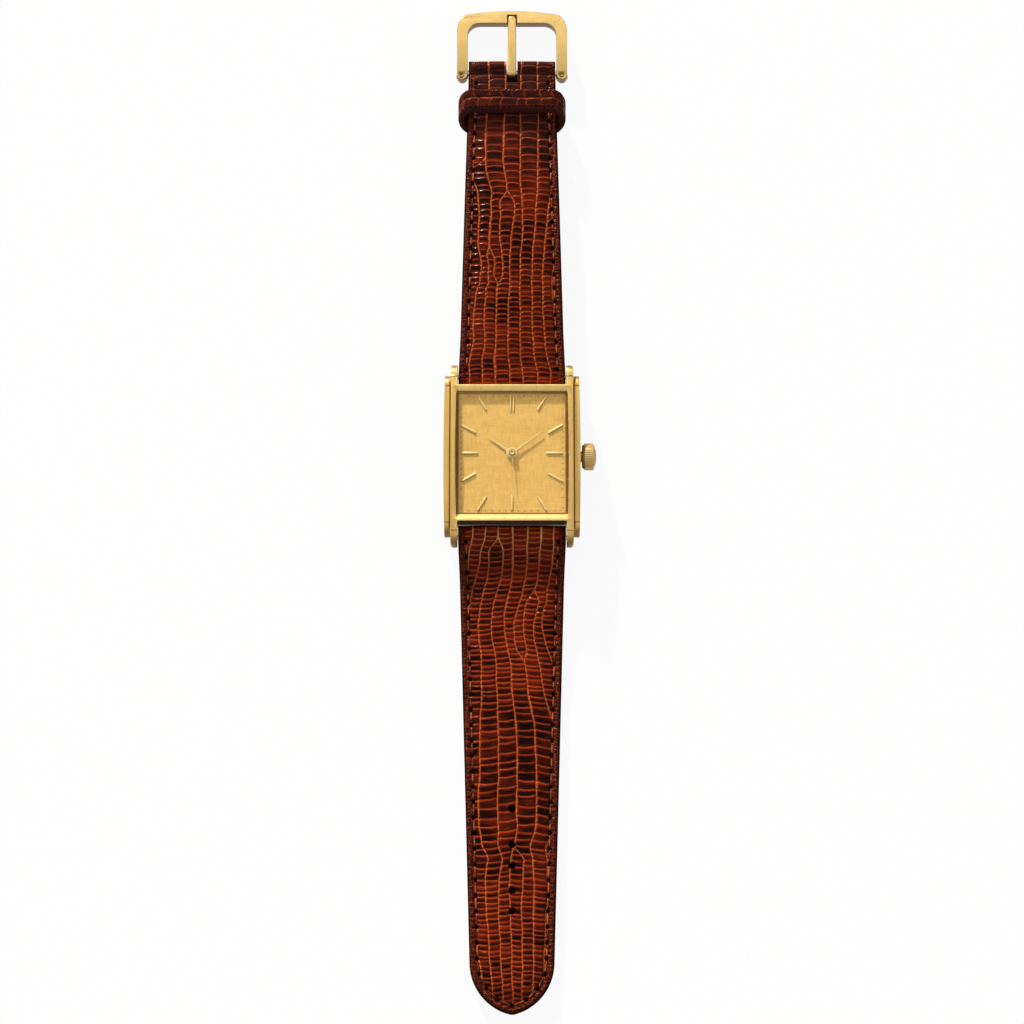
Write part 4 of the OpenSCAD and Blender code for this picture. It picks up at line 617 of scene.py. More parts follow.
# %% Movement finishes
plate_nickel = brushed_metal("plate_nickel", rgb(168, 160, 142), rgb(214, 208, 192), 0.38, (2, 2, 2), 0.7)
steel_grey = brushed_metal("steel_grey", rgb(140, 142, 146), rgb(205, 207, 210), 0.26, (3, 14, 6))
steel_blue = brushed_metal("steel_blue", rgb(28, 44, 104), rgb(58, 92, 176), 0.22, (4, 4, 4), 0.6)
wheel_gilt = brushed_metal("wheel_gilt", rgb(190, 148, 66), rgb(232, 196, 112), 0.3, (6, 6, 6), 0.8)
ring_brass = brushed_metal("ring_brass", rgb(170, 132, 62), rgb(206, 168, 92), 0.36, (3, 3, 12))

bridge_nickel, tree, shader = new_material("bridge_nickel", metallic=1.0)
point = object_point(tree, (1, 1, 1))
waved = {"Vector": point, "Scale": 0.17, "Distortion": 0.4, "Detail": 2.0}
stripe = add_node(tree, "ShaderNodeTexWave", waved, wave_type="BANDS", bands_direction="DIAGONAL",
                  wave_profile="SIN").outputs["Fac"]
fine = noise(tree, object_point(tree, (9, 9, 1)), 1.0, 3.0)
tree.links.new(mix(tree, stripe, rgb(170, 165, 152), rgb(226, 221, 208)), shader.inputs["Base Color"])
tree.links.new(ramp(tree, fine, 0.3, 0.7, 0.24, 0.38), shader.inputs["Roughness"])
tree.links.new(bump(tree, maths(tree, "MULTIPLY_ADD", fine, 0.2, stripe), 0.02), shader.inputs["Normal"])

ruby, tree, shader = new_material("ruby", transmission_weight=0.6, ior=1.76, roughness=0.05)
tree.links.new(mix(tree, noise(tree, object_point(tree, (4, 4, 4))), rgb(150, 12, 50), rgb(205, 30, 80)),
               shader.inputs["Base Color"])

finish_of_slot = {"plate": plate_nickel, "bridge": bridge_nickel, "steel": steel_grey,
                  "blued_steel": steel_blue, "jewel": ruby, "wheel_brass": wheel_gilt,
                  "ring_brass": ring_brass, "gold_case": case_gold}
replaced = {"middle_case", "case_back", "crown"}
for node, slot in slot_of.items():
    if slot in finish_of_slot and node not in replaced:
        dress(node, finish_of_slot[slot])
print("movement pieces dressed:", sum(slot in finish_of_slot for slot in slot_of.values()) - len(replaced))

# %% [markdown]
# ## The lizard skin as a field
# Lizard leather has wavy grooves along the strap and shallower ones across, and both split and end as the
# animal's scales did. Texture nodes can't follow such a pattern, so it is worked out here: each point of a
# leather mesh gets its distance to the nearest groove of either kind. Distances blend well between points,
# so the shader can draw a line far finer than the mesh.

# %% Curves and random numbers
whole_turn = 6.283


def smooth(low, high, value):
    """0 below low, 1 above high, and a soft step between."""
    share = np.clip((value - low) / (high - low), 0.0, 1.0)
    return share * share * (3.0 - 2.0 * share)


def along_curve(value, knots):
    """A soft curve through (place, value) knots."""
    places, values = np.array(knots, float).T
    out = np.full(np.shape(value), values[0])
    for i in range(len(places) - 1):
        out = out + (values[i + 1] - values[i]) * smooth(places[i], places[i + 1], value)
    return out


def scatter(a, b, seed):
    """An even random number from 0 to 1 for each pair of whole numbers."""
    mixed = np.sin(np.asarray(a) * 127.1 + np.asarray(b) * 311.7 + seed * 74.7) * 43758.5453
    return mixed - np.floor(mixed)


def waves(place, key, seed, pitch):
    """Slow wandering of one groove, from -1 to 1."""
    total = 0.0
    for step, share in ((1.0, 0.55), (2.3, 0.30), (5.1, 0.15)):
        phase = whole_turn * scatter(key, step * 10, seed)
        total = total + share * np.sin(whole_turn * place * step / pitch + phase)
    return total


# %% Long and cross grooves


def long_lines(along, pitch, drift, splits, seed, count):
    """Where the long grooves between count columns of scales lie across the skin, at every point. A split
    (column, place, grows) opens or closes a column there, and at first its neighbours make room for it."""
    opening, settling, room = (-0.4, 2.7), (0.0, 14.0), 0.42
    uneven = 0.26
    wander, wander_pitch = 0.16, 17.0
    opened = np.ones((count, *along.shape))
    for column, place, grows in splits:
        beyond = (1.0 if grows else -1.0) * (along - place)
        fast, slow = smooth(*opening, beyond), smooth(*settling, beyond)
        opened[column] *= fast
        for side in (column - 1, column + 1):
            opened[side] = np.maximum(opened[side] - room * (fast - slow), 0)
    spread = 1.0 + uneven * (scatter(np.arange(count), 3, seed) - 0.5)
    opened *= spread[:, None, None]
    lines = np.concatenate([np.zeros((1, *along.shape)), np.cumsum(opened, axis=0)])
    lines = along_curve(along, drift) + along_curve(along, pitch) * (lines - lines[count // 2])
    for k in range(count + 1):
        lines[k] += wander * waves(along, k, seed, wander_pitch)
    return np.maximum.accumulate(lines, axis=0)


def scale_field(across, along, pitch, cross_pitch, drift, splits, seed, count=15):
    """Distances in millimetres to the long and cross grooves, with each cross groove's strength and
    each scale's tone. across and along are in millimetres along the skin."""
    far, narrowest = 9.0, 0.05
    column_shift, tilt, bow = 7.3, 0.5, 0.5
    row_shift, row_tilt, shading_reach = 0.34, 0.3, 0.28
    lines = long_lines(along, pitch, drift, splits, seed, count)
    column = np.sum(across > lines, axis=0)
    left, right = (np.take_along_axis(lines, np.clip(column - step, 0, count)[None], axis=0)[0]
                   for step in (1, 0))
    inside = np.clip((across - left) / np.maximum(right - left, narrowest), 0, 1) - 0.5
    grid = np.linspace(along.min() - 1, along.max() + 1, 3000)
    rows = np.concatenate([[0], np.cumsum(np.diff(grid) / along_curve(grid[1:], cross_pitch))])
    level = np.interp(along, grid, rows) + column_shift * scatter(column, 1, seed)
    level = level + (scatter(column, 2, seed) - 0.5) * tilt * inside + bow * inside * inside
    row_height = along_curve(along, cross_pitch)
    cross_distance = np.full(along.shape, far)
    strength, lean = np.zeros(along.shape), np.zeros(along.shape)
    for offset in (-1, 0, 1, 2):
        row = np.floor(level) + offset
        line = row + row_shift * (scatter(column, row, seed) - 0.5)
        line = line + row_tilt * inside * (scatter(row, column, seed) - 0.5)
        gap = np.abs(level - line) * row_height
        near = gap < cross_distance
        cross_distance = np.where(near, gap, cross_distance)
        strength = np.where(near, scatter(row, column + 20, seed), strength)
        # Painted shading across each scale: lighter on one side of each cross groove, darker on the other.
        lean = np.where(near, np.sign(level - line) * np.exp(-gap / shading_reach), lean)
    return {"long_groove": np.min(np.abs(across - lines), axis=0), "cross_groove": cross_distance,
            "cross_strength": strength, "scale_shading": lean,
            "scale_tone": scatter(column, np.floor(level), seed + 5)}


# %% [markdown]
# ## Lofting a strap
# Each strap part is one closed loft: a ring of points round the strap's section, repeated along it. The
# top of a ring is crowned, dips under the stitches and rounds over at its edges, and the grooves are
# pressed in. The ring gets smaller at the lug end, where the leather wraps the spring bar. Below, d is
# always the distance from the spring bar along the strap, in millimetres, and x the way across it.

# %% Strap shapes
bar_low, bar_high = node_box("spring_bar_12")
bar_y, bar_z = (bar_low[1] + bar_high[1]) / 2, (bar_low[2] + bar_high[2]) / 2
pin_low, pin_high = node_box("buckle_bar")
pin_y, pin_z = (pin_low[1] + pin_high[1]) / 2, (pin_low[2] + pin_high[2]) / 2
strap_reach = pin_y - bar_y
lug_half = node_box("strap_12_upper")[1][0]
# Half the thickness at the lug, the thickness at the end, the lining's, and the stitches' way in
lug_r, end_t, lining_t, stitch_in = 1.7, 2.3, 0.9, 1.45
# Half widths at the buckle and the tail, and where the rounded tip starts
buckle_half, tail_half = 8.2, 7.6
tail_start, tip_r = 77.54, 9.5
# Reach of the padded nose past the spring bar, and how full its curve is
nose_reach, nose_power = 2.25, 2.6
# Runs over which the padding thins, the long part comes down and the fit between the lugs eases
padding_run, climb_run, fit_run = 30.0, 15.0, 9.0
arch, lug_snug, buckle_snug = 1.95, 0.14, 0.05
print("spring bar at", round(bar_y, 2), bar_z, "buckle bar at", round(pin_y, 2), pin_z)


def thickness(d):
    """Skin, padding and lining together, thickest at the lug."""
    u = np.clip(d / padding_run, 0, 1)
    return end_t + (2 * lug_r - end_t) * (1 - u) ** 2 * (1 + 2 * u)


def short_middle(d):
    """The middle height of the short part, which arches from bar to bar."""
    share = np.clip(d / strap_reach, 0, 1)
    return bar_z + (pin_z - bar_z) * share + arch * np.sin(np.pi * share)


def nose_height(d):
    """Half the height of the padded nose before the spring bar, which fills the room up to the case."""
    inside = np.maximum(1 - np.abs(np.minimum(d, 0) / nose_reach) ** nose_power, 0)
    return lug_r * inside ** (1 / nose_power)


def short_half(d):
    """Half the width of the short part, a little snugger between the lugs and the buckle's legs."""
    snug = lug_snug * (1 - smooth(0, fit_run, d)) + buckle_snug * smooth(strap_reach - 8, strap_reach, d)
    return lug_half - (lug_half - buckle_half) * np.clip(d / strap_reach, 0, 1) + snug


def long_bottom(d):
    """The underside of the long part, which comes down to the table."""
    return (bar_z - lug_r) * (1 - np.clip(d / climb_run, 0, 1)) ** 2


def long_half(d):
    """Half the width of the long part, with its rounded tip."""
    straight = lug_half - (lug_half - tail_half) * np.clip(d, 0, tail_start) / tail_start
    straight = straight + lug_snug * (1 - smooth(0, fit_run, d))
    past = np.clip(d - tail_start, 0, tip_r)
    rounded = np.sqrt(np.maximum(tip_r ** 2 - past ** 2, 0)) - (tip_r - tail_half)
    return np.where(d < tail_start, straight, rounded)


def edge_distance(x, d, half, pointed):
    """Distance to the strap's outline, seen from above."""
    flat = half(d) - np.abs(x)
    if not pointed:
        return flat
    tip = tip_r - np.hypot(np.abs(x) + tip_r - tail_half, np.maximum(d - tail_start, 0))
    return np.where(d < tail_start, flat, tip)


def crowned(edge):
    """How far the skin lies below its highest line, by its distance from the edge."""
    edge_drop, edge_run = 0.55, 0.75
    dip, dip_width = 0.17, 0.5
    padding, padding_end = 0.46, 4.4
    rounding = edge_drop * (1 - smooth(0.0, edge_run, edge)) ** 2
    channel = dip * np.exp(-((edge - stitch_in) / dip_width) ** 2)
    return rounding + channel + padding * (1 - smooth(stitch_in - 0.3, padding_end, edge))


def strap_rings(stations, half, top, bottom, pointed, columns, under):
    """Rings of points (station, place in ring, XYZ) with Y as the distance from the spring bar."""
    skin_in, lining_in, thinnest = 0.06, 0.04, 0.02
    low_rounding, low_run = 0.18, 0.4
    d = stations[:, None]
    width = half(d) - skin_in
    x = np.linspace(-1, 1, columns)[None, :] * width
    edge = np.maximum(edge_distance(x, d, half, pointed), 0)
    high, low = top(d), bottom(d)
    # The padding ends where the short part folds round the buckle's bar
    ease = 1.0 if pointed else 1 - 0.7 * smooth(strap_reach - 5, strap_reach - 1.8, d)
    z_top = np.maximum(high - np.minimum(ease * crowned(edge), 0.6 * (high - low)), low + thinnest)
    x_low = np.linspace(1, -1, under)[None, :] * (width - lining_in)
    low_edge = np.maximum(half(d) - np.abs(x_low), 0)
    z_low = low + low_rounding * (1 - smooth(0, low_run, low_edge)) * np.minimum(high - low, 1)

    def flank(side, z_from, z_to, share):
        """A line of points down one side, a share of the way from one height to the other."""
        z = z_from * (1 - share) + z_to * share
        return np.stack([side * np.broadcast_to(half(d), z.shape), np.broadcast_to(d, z.shape), z], -1)

    return np.concatenate([
        np.stack([x, np.broadcast_to(d, x.shape), z_top], -1),
        *(flank(1, z_top[:, -1:], z_low[:, :1], share) for share in (0.30, 0.62)),
        np.stack([x_low, np.broadcast_to(d, x_low.shape), z_low], -1),
        *(flank(-1, z_low[:, -1:], z_top[:, :1], share) for share in (0.38, 0.70)),
    ], axis=1)


def strip_slots(columns, under):
    """The material of each strip round a ring: 0 for skin or lining, 1 for the painted edges."""
    return np.array([0] * (columns - 1) + [1] * 3 + [0] * (under - 1) + [1] * 3)


def leather_mesh(name, points, faces, slots, values):
    """A closed mesh from points in millimetres, a material for each face and attributes on the points."""
    mesh = bpy.data.meshes.new(name)
    mesh.from_pydata((points * MM).tolist(), [], faces)
    mesh.polygons.foreach_set("material_index", slots)
    for key, value in values.items():
        layer = mesh.attributes.new(key, "FLOAT", "POINT")
        layer.data.foreach_set("value", np.ascontiguousarray(value, np.float32).ravel())
    shape = bmesh.new()
    shape.from_mesh(mesh)
    bmesh.ops.recalc_face_normals(shape, faces=shape.faces)
    shape.to_mesh(mesh)
    shape.free()
    mesh.polygons.foreach_set("use_smooth", [True] * len(mesh.polygons))
    mesh.set_sharp_from_angle(angle=np.radians(50))
    print(name, "points:", len(mesh.vertices), "faces:", len(mesh.polygons))
    return mesh


def loft(name, rings, values, strips, flip_y=False, painted=0):
    """Skins rings into one closed mesh. strips is each strip's material, and the first painted rows of faces
    get edge paint."""
    count, around = rings.shape[:2]
    points = rings.reshape(-1, 3) * ((1, -1, 1) if flip_y else 1)
    index = np.arange(count * around).reshape(count, around)
    turned = np.roll(index, -1, axis=1)
    quads = np.stack([index[:-1], turned[:-1], turned[1:], index[1:]], -1).reshape(-1, 4)
    slots = np.tile(strips, count - 1)
    slots[:around * painted] = 1
    faces = quads.tolist() + [index[0][::-1].tolist(), index[-1].tolist()]
    return leather_mesh(name, points, faces, slots.tolist() + [strips[0]] * 2, values)


# %% [markdown]
# ## Stitches and holes in the pattern
# The sewing line runs 1.45 mm inside the edge, and follows the pointed tip of the long part. The needle holes
# are spaced along it first. The leather is then pressed in round each hole and given painted shade inside it,
# and the threads are laid from hole to hole further on, so that both always agree.

# %% Needle holes
no_hole = 9.0
punched_r = 0.58


def sewing_line(half, first, last, pitch, pointed):
    """Needle holes (x, d) down one side of a strap part, evenly spaced along the line."""
    d = np.linspace(first, last, 2000)
    x = half(d) - stitch_in
    if pointed:
        radius, offset = tip_r - stitch_in, tip_r - tail_half
        angle = np.linspace(0, np.arccos(offset / radius), 400)
        straight = d < tail_start
        x = np.concatenate([x[straight], radius * np.cos(angle) - offset])
        d = np.concatenate([d[straight], tail_start + radius * np.sin(angle)])
    run = np.concatenate([[0], np.cumsum(np.hypot(np.diff(x), np.diff(d)))])
    number = int(round(run[-1] / pitch))
    places = np.linspace(0, run[-1], number + 1)
    return np.stack([np.interp(places, run, x), np.interp(places, run, d)], -1)


def hole_distance(x, d, holes, wide, long):
    """Distance to the nearest hole, as a share of the hole's own size."""
    nearest = np.full(x.shape, no_hole)
    for hx, hd in holes:
        for side in (-1, 1):
            nearest = np.minimum(nearest, np.hypot((x - side * hx) / wide, (d - hd) / long))
    return nearest


short_holes = sewing_line(short_half, first=1.2, last=58.2, pitch=2.55, pointed=False)
long_holes = sewing_line(long_half, first=1.0, last=tail_start, pitch=2.8, pointed=True)
buckle_holes = [(0.0, d) for d in (50.2, 56.6, 60.4, 64.9, 68.5)]
print("needle holes down one side:", len(short_holes), "short,", len(long_holes), "long")

# %% [markdown]
# ## Leather finish
# The skin is dark brown between bright orange grooves. Each scale has its own tone and a few bands across
# it, the margins outside the stitches are darker, and the painted edge is nearly black. The colours come
# from the attributes of the scale pattern, and a low bump adds the rounding of each scale. The skin mirrors
# next to nothing, because in a white studio even a weak mirror turns dark brown to grey.

# %% Colours of the skin


def paint_hole_shade(tree, colour, dark):
    """Painted shade in the holes: dark inside, with a soft rim, so that the pressed dimples look like holes
    through the leather.
    """
    return mix(tree, ramp(tree, attribute(tree, "hole"), 0.75, 1.15, 1.0, 0.0), colour, dark)


lizard_skin, tree, shader = new_material("lizard_skin", specular_ior_level=0.03)
long_groove, cross_groove, strength, tone, scale_shading, painted_highlight, margin, shade_and_sheen = (
    attribute(tree, name) for name in
    ("long_groove", "cross_groove", "cross_strength", "scale_tone", "scale_shading", "painted_highlight", "margin", "shade_and_sheen")
)
bands = noise(tree, object_point(tree, (0.45, 3.2, 0.6)), 1.0, 3.0, 0.6)
pores = noise(tree, object_point(tree, (5, 5, 5)), 1.0, 2.0, 0.5)
patches = noise(tree, object_point(tree, (0.16, 0.10, 0.1)), 1.0, 2.0, 0.5)
sweeps = noise(tree, object_point(tree, (0.09, 0.5, 0.1)), 1.0, 2.0, 0.5)
middle = ramp(tree, maths(tree, "MINIMUM", long_groove, cross_groove), 0.12, 0.50)
# How warm and light a point is: slow sweeps and patches, bands, each scale's tone, painted shading across
# each scale and a painted highlight next to the case; the middle of each scale is darker.
warmth = maths(tree, "MULTIPLY", sweeps, 0.9)
for value, share in ((patches, 0.8), (bands, 0.9), (tone, 0.24), (painted_highlight, 0.4), (scale_shading, 0.20),
                     (middle, -0.30)):
    warmth = maths(tree, "MULTIPLY_ADD", value, share, warmth)
body = mix(tree, ramp(tree, warmth, 0.90, 1.95), rgb(22, 4, 2), rgb(134, 42, 16))
# Painted shade and sheen: where the attribute is high the skin turns a duller, greyer purple-brown with fewer
# cross lines.
shaded = mix(tree, bands, rgb(26, 8, 8), rgb(76, 36, 32))
body = mix(tree, maths(tree, "MULTIPLY", shade_and_sheen, 0.8), body, shaded)
near_cross = ramp(tree, cross_groove, 0.03, 0.17, 1.0, 0.0)
cross_mask = maths(tree, "MULTIPLY", near_cross, ramp(tree, strength, 0.0, 0.8, 0.45, 1.0))
cross_mask = maths(tree, "MULTIPLY", cross_mask, ramp(tree, shade_and_sheen, 0.5, 1.0, 1.0, 0.35))
# Painted highlight: next to the case the cross and long grooves take a paler colour.
body = mix(tree, cross_mask, body, mix(tree, painted_highlight, rgb(166, 68, 32), rgb(208, 108, 52)))
near_long = ramp(tree, long_groove, 0.04, 0.18, 1.0, 0.0)
glow = mix(tree, ramp(tree, pores, 0.35, 0.65), rgb(172, 68, 24), rgb(216, 112, 52))
glow = mix(tree, painted_highlight, glow, rgb(250, 190, 130))
body = mix(tree, maths(tree, "MULTIPLY", near_long, 0.95), body, glow)

# %% Margins, edges and holes of the skin
cells = {"Vector": object_point(tree, (1.35, 1.7, 1.0)), "Scale": 1.0, "Randomness": 0.9}
small = add_node(tree, "ShaderNodeTexVoronoi", cells, feature="DISTANCE_TO_EDGE").outputs["Distance"]
small_lines = ramp(tree, small, 0.02, 0.12, 1.0, 0.0)
outside = ramp(tree, margin, 1.0, 1.75, 1.0, 0.0)
margin_colour = mix(tree, bands, rgb(18, 5, 4), rgb(66, 22, 13))
margin_colour = mix(tree, maths(tree, "MULTIPLY", small_lines, 0.6), margin_colour, rgb(142, 56, 28))
body = mix(tree, maths(tree, "MULTIPLY", outside, 0.85), body, margin_colour)
body = mix(tree, ramp(tree, margin, 0.12, 0.42, 0.92, 0.0), body, rgb(12, 4, 3))
tree.links.new(paint_hole_shade(tree, body, rgb(5, 2, 2)), shader.inputs["Base Color"])

# %% Sheen and relief of the skin
groove_mask = maths(tree, "MAXIMUM", near_long, cross_mask)
rough = maths(tree, "MULTIPLY_ADD", groove_mask, 0.16, ramp(tree, pores, 0.3, 0.7, 0.13, 0.24))
rough = maths(tree, "MAXIMUM", rough, ramp(tree, margin, 0.1, 0.6, 0.85, 0.0))
tree.links.new(rough, shader.inputs["Roughness"])
height = ramp(tree, long_groove, 0.0, 0.45)
cross_depth = maths(tree, "MULTIPLY_ADD", strength, 0.45, 0.4)
small_relief = maths(tree, "MULTIPLY", ramp(tree, small, 0.0, 0.2), outside)
for value, share in ((ramp(tree, cross_groove, 0.0, 0.34), cross_depth), (bands, 0.35), (pores, 0.10),
                     (small_relief, 0.5)):
    height = maths(tree, "MULTIPLY_ADD", value, share, height)
tree.links.new(bump(tree, height, 0.10, 1.0), shader.inputs["Normal"])

# %% [markdown]
# ## Painted edges and lining
# The strap's cut edges are sealed with a nearly black paint, and its underside is soft calf leather, lighter
# than the skin and stained by wear. Both are plain noise finishes, and the lining has fine cells as well.

# %% Edge paint and lining
edge_paint, tree, shader = new_material("edge_paint", specular_ior_level=0.0)
spots = noise(tree, object_point(tree, (2, 2, 2)), 1.0, 3.0)
tree.links.new(mix(tree, spots, rgb(8, 3, 3), rgb(30, 12, 9)), shader.inputs["Base Color"])
tree.links.new(ramp(tree, spots, 0.3, 0.7, 0.35, 0.5), shader.inputs["Roughness"])
tree.links.new(bump(tree, spots, 0.02), shader.inputs["Normal"])

lining_leather, tree, shader = new_material("lining_leather", specular_ior_level=0.3)
point = object_point(tree, (1, 1, 1))
grain = add_node(tree, "ShaderNodeTexVoronoi", {"Vector": point, "Scale": 3.4},
                 feature="DISTANCE_TO_EDGE").outputs["Distance"]
stain = noise(tree, point, 0.12, 4.0, 0.6)
base = mix(tree, ramp(tree, stain, 0.3, 0.7), rgb(150, 96, 56), rgb(196, 142, 92))
base = mix(tree, ramp(tree, grain, 0.0, 0.10, 0.30, 0.0), base, rgb(110, 66, 36))
tree.links.new(paint_hole_shade(tree, base, rgb(26, 14, 9)), shader.inputs["Base Color"])
tree.links.new(ramp(tree, stain, 0.2, 0.8, 0.5, 0.68), shader.inputs["Roughness"])
tree.links.new(bump(tree, grain, 0.03, 0.7), shader.inputs["Normal"])

# %% [markdown]
# ## Short strap part
# It runs from the spring bar over a low arch to the buckle, where the leather folds round the buckle's
# bar in a roll with a crease before it. A slot in the roll leaves room for the tongue: the points that
# would lie in the slot are pulled back to its end, which forms its walls.

# %% Shape of the short part
fold_reach, slot_reach = 2.4, 1.6
roll_r = 1.4
roll_y = pin_y + fold_reach - roll_r - bar_y
notch_half, notch_d, notch_slope = 1.03, pin_y - slot_reach - bar_y, np.radians(34)
hair = 0.004
lining_from, lining_full = 4.1, 4.3
nose = -nose_reach * np.cos(np.linspace(np.radians(3), np.radians(90), 14)[:-1])
print("roll starts", round(roll_y, 2), "slot ends", round(notch_d, 2), "mm from the spring bar")


def rolled(d, sign):
    """Top (sign 1) or bottom (-1) of the end that is folded round the buckle's bar."""
    circle = np.sqrt(np.maximum(roll_r ** 2 - (d - roll_y) ** 2, 1e-4))
    return pin_z + sign * circle


def short_top(d):
    """The highest line of the skin, with the crease before the fold and the fold itself."""
    crease_depth, crease_width = 0.26, 0.30
    run = np.where(d < 0, bar_z + nose_height(d), short_middle(d) + thickness(d) / 2)
    crease = crease_depth * np.exp(-((d - strap_reach + 0.5) / crease_width) ** 2)
    swell = smooth(strap_reach - 0.2, roll_y, d)
    return np.where(d > roll_y, rolled(d, 1), (run - crease) * (1 - swell) + (pin_z + roll_r) * swell)


def short_seam(d):
    """The lower side of the skin. It steps up where the lining starts, and down again at the fold."""
    under = np.where(d < 0, bar_z - nose_height(d), short_middle(d) - thickness(d) / 2)
    run = under + lining_t * smooth(lining_from, lining_full, d)
    rise = 0.25 * (1 - smooth(roll_y - 1.3, roll_y, d))
    folded = np.where(d > roll_y, rolled(d, -1), pin_z - roll_r + rise)
    return np.where(d > strap_reach - 0.4, folded, run)


def cut_notch(rings, gap):
    """Pulls what lies in the tongue's slot back to the slot's end, which slopes back towards the top. Points
    within gap of the slot's sides close in on them."""
    floor_drop = 0.3
    x, d, z = rings[..., 0], rings[..., 1], rings[..., 2]
    sloped = pin_z + 0.1 + (notch_d - d) / np.tan(notch_slope)
    cut_back = (d <= notch_d) & (z > sloped) & (np.abs(x) < notch_half)
    z[cut_back] = sloped[cut_back]
    beyond = d > notch_d
    level = short_top(np.array([notch_d]))[0]
    close_in = beyond & (np.abs(x) < notch_half) & (np.abs(x) > notch_half - gap)
    close_out = beyond & (np.abs(x) >= notch_half) & (np.abs(x) < notch_half + gap)
    x[close_in] = np.sign(x[close_in]) * (notch_half - hair)
    x[close_out] = np.sign(x[close_out]) * (notch_half + hair)
    inside = beyond & (np.abs(x) < notch_half)
    z[inside] = np.minimum(z[inside], level - floor_drop)
    d[inside] = notch_d
    return rings


# %% Pressing the pattern into the skin
long_width, cross_width = 0.17, 0.13


def skin_values(rings, columns, half, pointed, holes, big_holes, pattern, shade_and_sheen_at, highlight_at):
    """Works out all leather attributes of a strap part and presses grooves and holes into its top."""
    long_depth, cross_depth, needle_depth, punched_depth = 0.11, 0.07, 0.30, 1.2
    needle_wide, needle_long, nose_shade_slope = 0.33, 0.44, 2.2
    d_line, z_line = rings[:, columns // 2, 1].copy(), rings[:, columns // 2, 2].copy()
    along = np.concatenate([[0], np.cumsum(np.hypot(np.diff(d_line), np.diff(z_line)))])
    along = np.broadcast_to((along - np.interp(0.0, d_line, along))[:, None], rings.shape[:2]).copy()
    x, d = rings[..., 0], rings[..., 1]
    values = scale_field(x, along, **pattern)
    # Near the nose's end the margin also counts from that end, so it gets the dark margin and edge colours
    # and a rough finish: painted shade next to the case.
    edge = np.minimum(edge_distance(x, d, half, pointed), (d + nose_reach) * nose_shade_slope)
    edge = np.maximum(edge, 0)
    needle = hole_distance(x, d, holes, needle_wide, needle_long)
    punched = hole_distance(x, d, big_holes, punched_r, punched_r)
    top = np.zeros(x.shape)
    top[:, :columns] = 1.0
    inner = smooth(0.6, 1.2, edge)
    press = long_depth * np.exp(-(values["long_groove"] / long_width) ** 2) * inner
    cross_press = cross_depth * (0.25 + values["cross_strength"])
    press += cross_press * np.exp(-(values["cross_groove"] / cross_width) ** 2) * inner
    press += needle_depth * (1 - smooth(0.6, 1.2, needle)) + punched_depth * (1 - smooth(0.85, 1.1, punched))
    rings[..., 2] -= press * top
    values["margin"] = edge + 2.0 * (1 - top)
    values["hole"] = np.minimum(needle, punched) + no_hole * (1 - top)
    # Painted shade and sheen, and a painted highlight, set by the distance along the skin.
    values["shade_and_sheen"] = shade_and_sheen_at(along) * np.ones(x.shape)
    values["painted_highlight"] = highlight_at(along) * np.ones(x.shape)
    return values


# %% Short part
columns, under = 112, 30
stations = np.concatenate([nose, np.arange(0, roll_y, 0.17),
                           roll_y + roll_r * np.sin(np.linspace(0, np.radians(87), 16))])
stations = np.sort(np.append(stations, [notch_d - hair, notch_d + hair]))
rings = strap_rings(stations, short_half, short_top, short_seam, False, columns, under)
short_pattern = dict(
    pitch=[(0, 2.4), (8, 2.15), (20, 1.95), (30, 2.2), (42, 3.1), (58, 2.9)],
    cross_pitch=[(0, 0.95), (18, 1.0), (24, 1.25), (38, 1.3), (44, 1.6), (58, 1.8)],
    drift=[(0, 2.0), (4, 1.6), (14, 1.4), (30, 1.9), (44, 1.5), (60, 1.7)],
    splits=[(4, 17.0, True), (3, 25.0, False), (5, 36.0, False), (2, 42.5, False)], seed=3)
# Painted shade and sheen grow over the last 20 mm towards the buckle, and there is no painted highlight.
values = skin_values(rings, columns, short_half, False, short_holes, [], short_pattern,
                     lambda s: smooth(36, 56, s), lambda s: 0.0 * s)
rings = cut_notch(rings, gap=0.09)
rings[..., 1] += bar_y
# The first rows at the nose's end get edge paint as well: painted shade next to the case.
short_mesh = loft("strap_short_leather", rings, values, strip_slots(columns, under), painted=4)
short_mesh.materials.append(lizard_skin)
short_mesh.materials.append(edge_paint)
short_leather = finish_piece(short_mesh, "strap_short_leather", "strap_12")
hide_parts("strap_12_upper")

# %% [markdown]
# ## Long strap part
# The same loft, with wider scales in the middle of its length, five punched holes for the tongue and the
# pointed tip. It lies on the table, and climbs to the spring bar only near the lugs. Next to the case its
# grooves and scales get a painted highlight, where the window shines on them.

# %% Long part


def long_top(d):
    """The highest line of the skin."""
    return np.where(d < 0, bar_z + nose_height(d), long_bottom(d) + thickness(d))


def long_seam(d):
    """The lower side of the skin, which steps up where the lining starts."""
    lined = long_bottom(d) + lining_t * smooth(lining_from, lining_full, d)
    return np.where(d < 0, bar_z - nose_height(d), lined)


def tip_stations(short_of, count):
    """Stations from the start of the tip almost to its end, closer together towards it."""
    tip_len = np.sqrt(tip_r ** 2 - (tip_r - tail_half) ** 2)
    return tail_start + (tip_len - short_of) * np.sin(np.linspace(0, np.pi / 2, count))


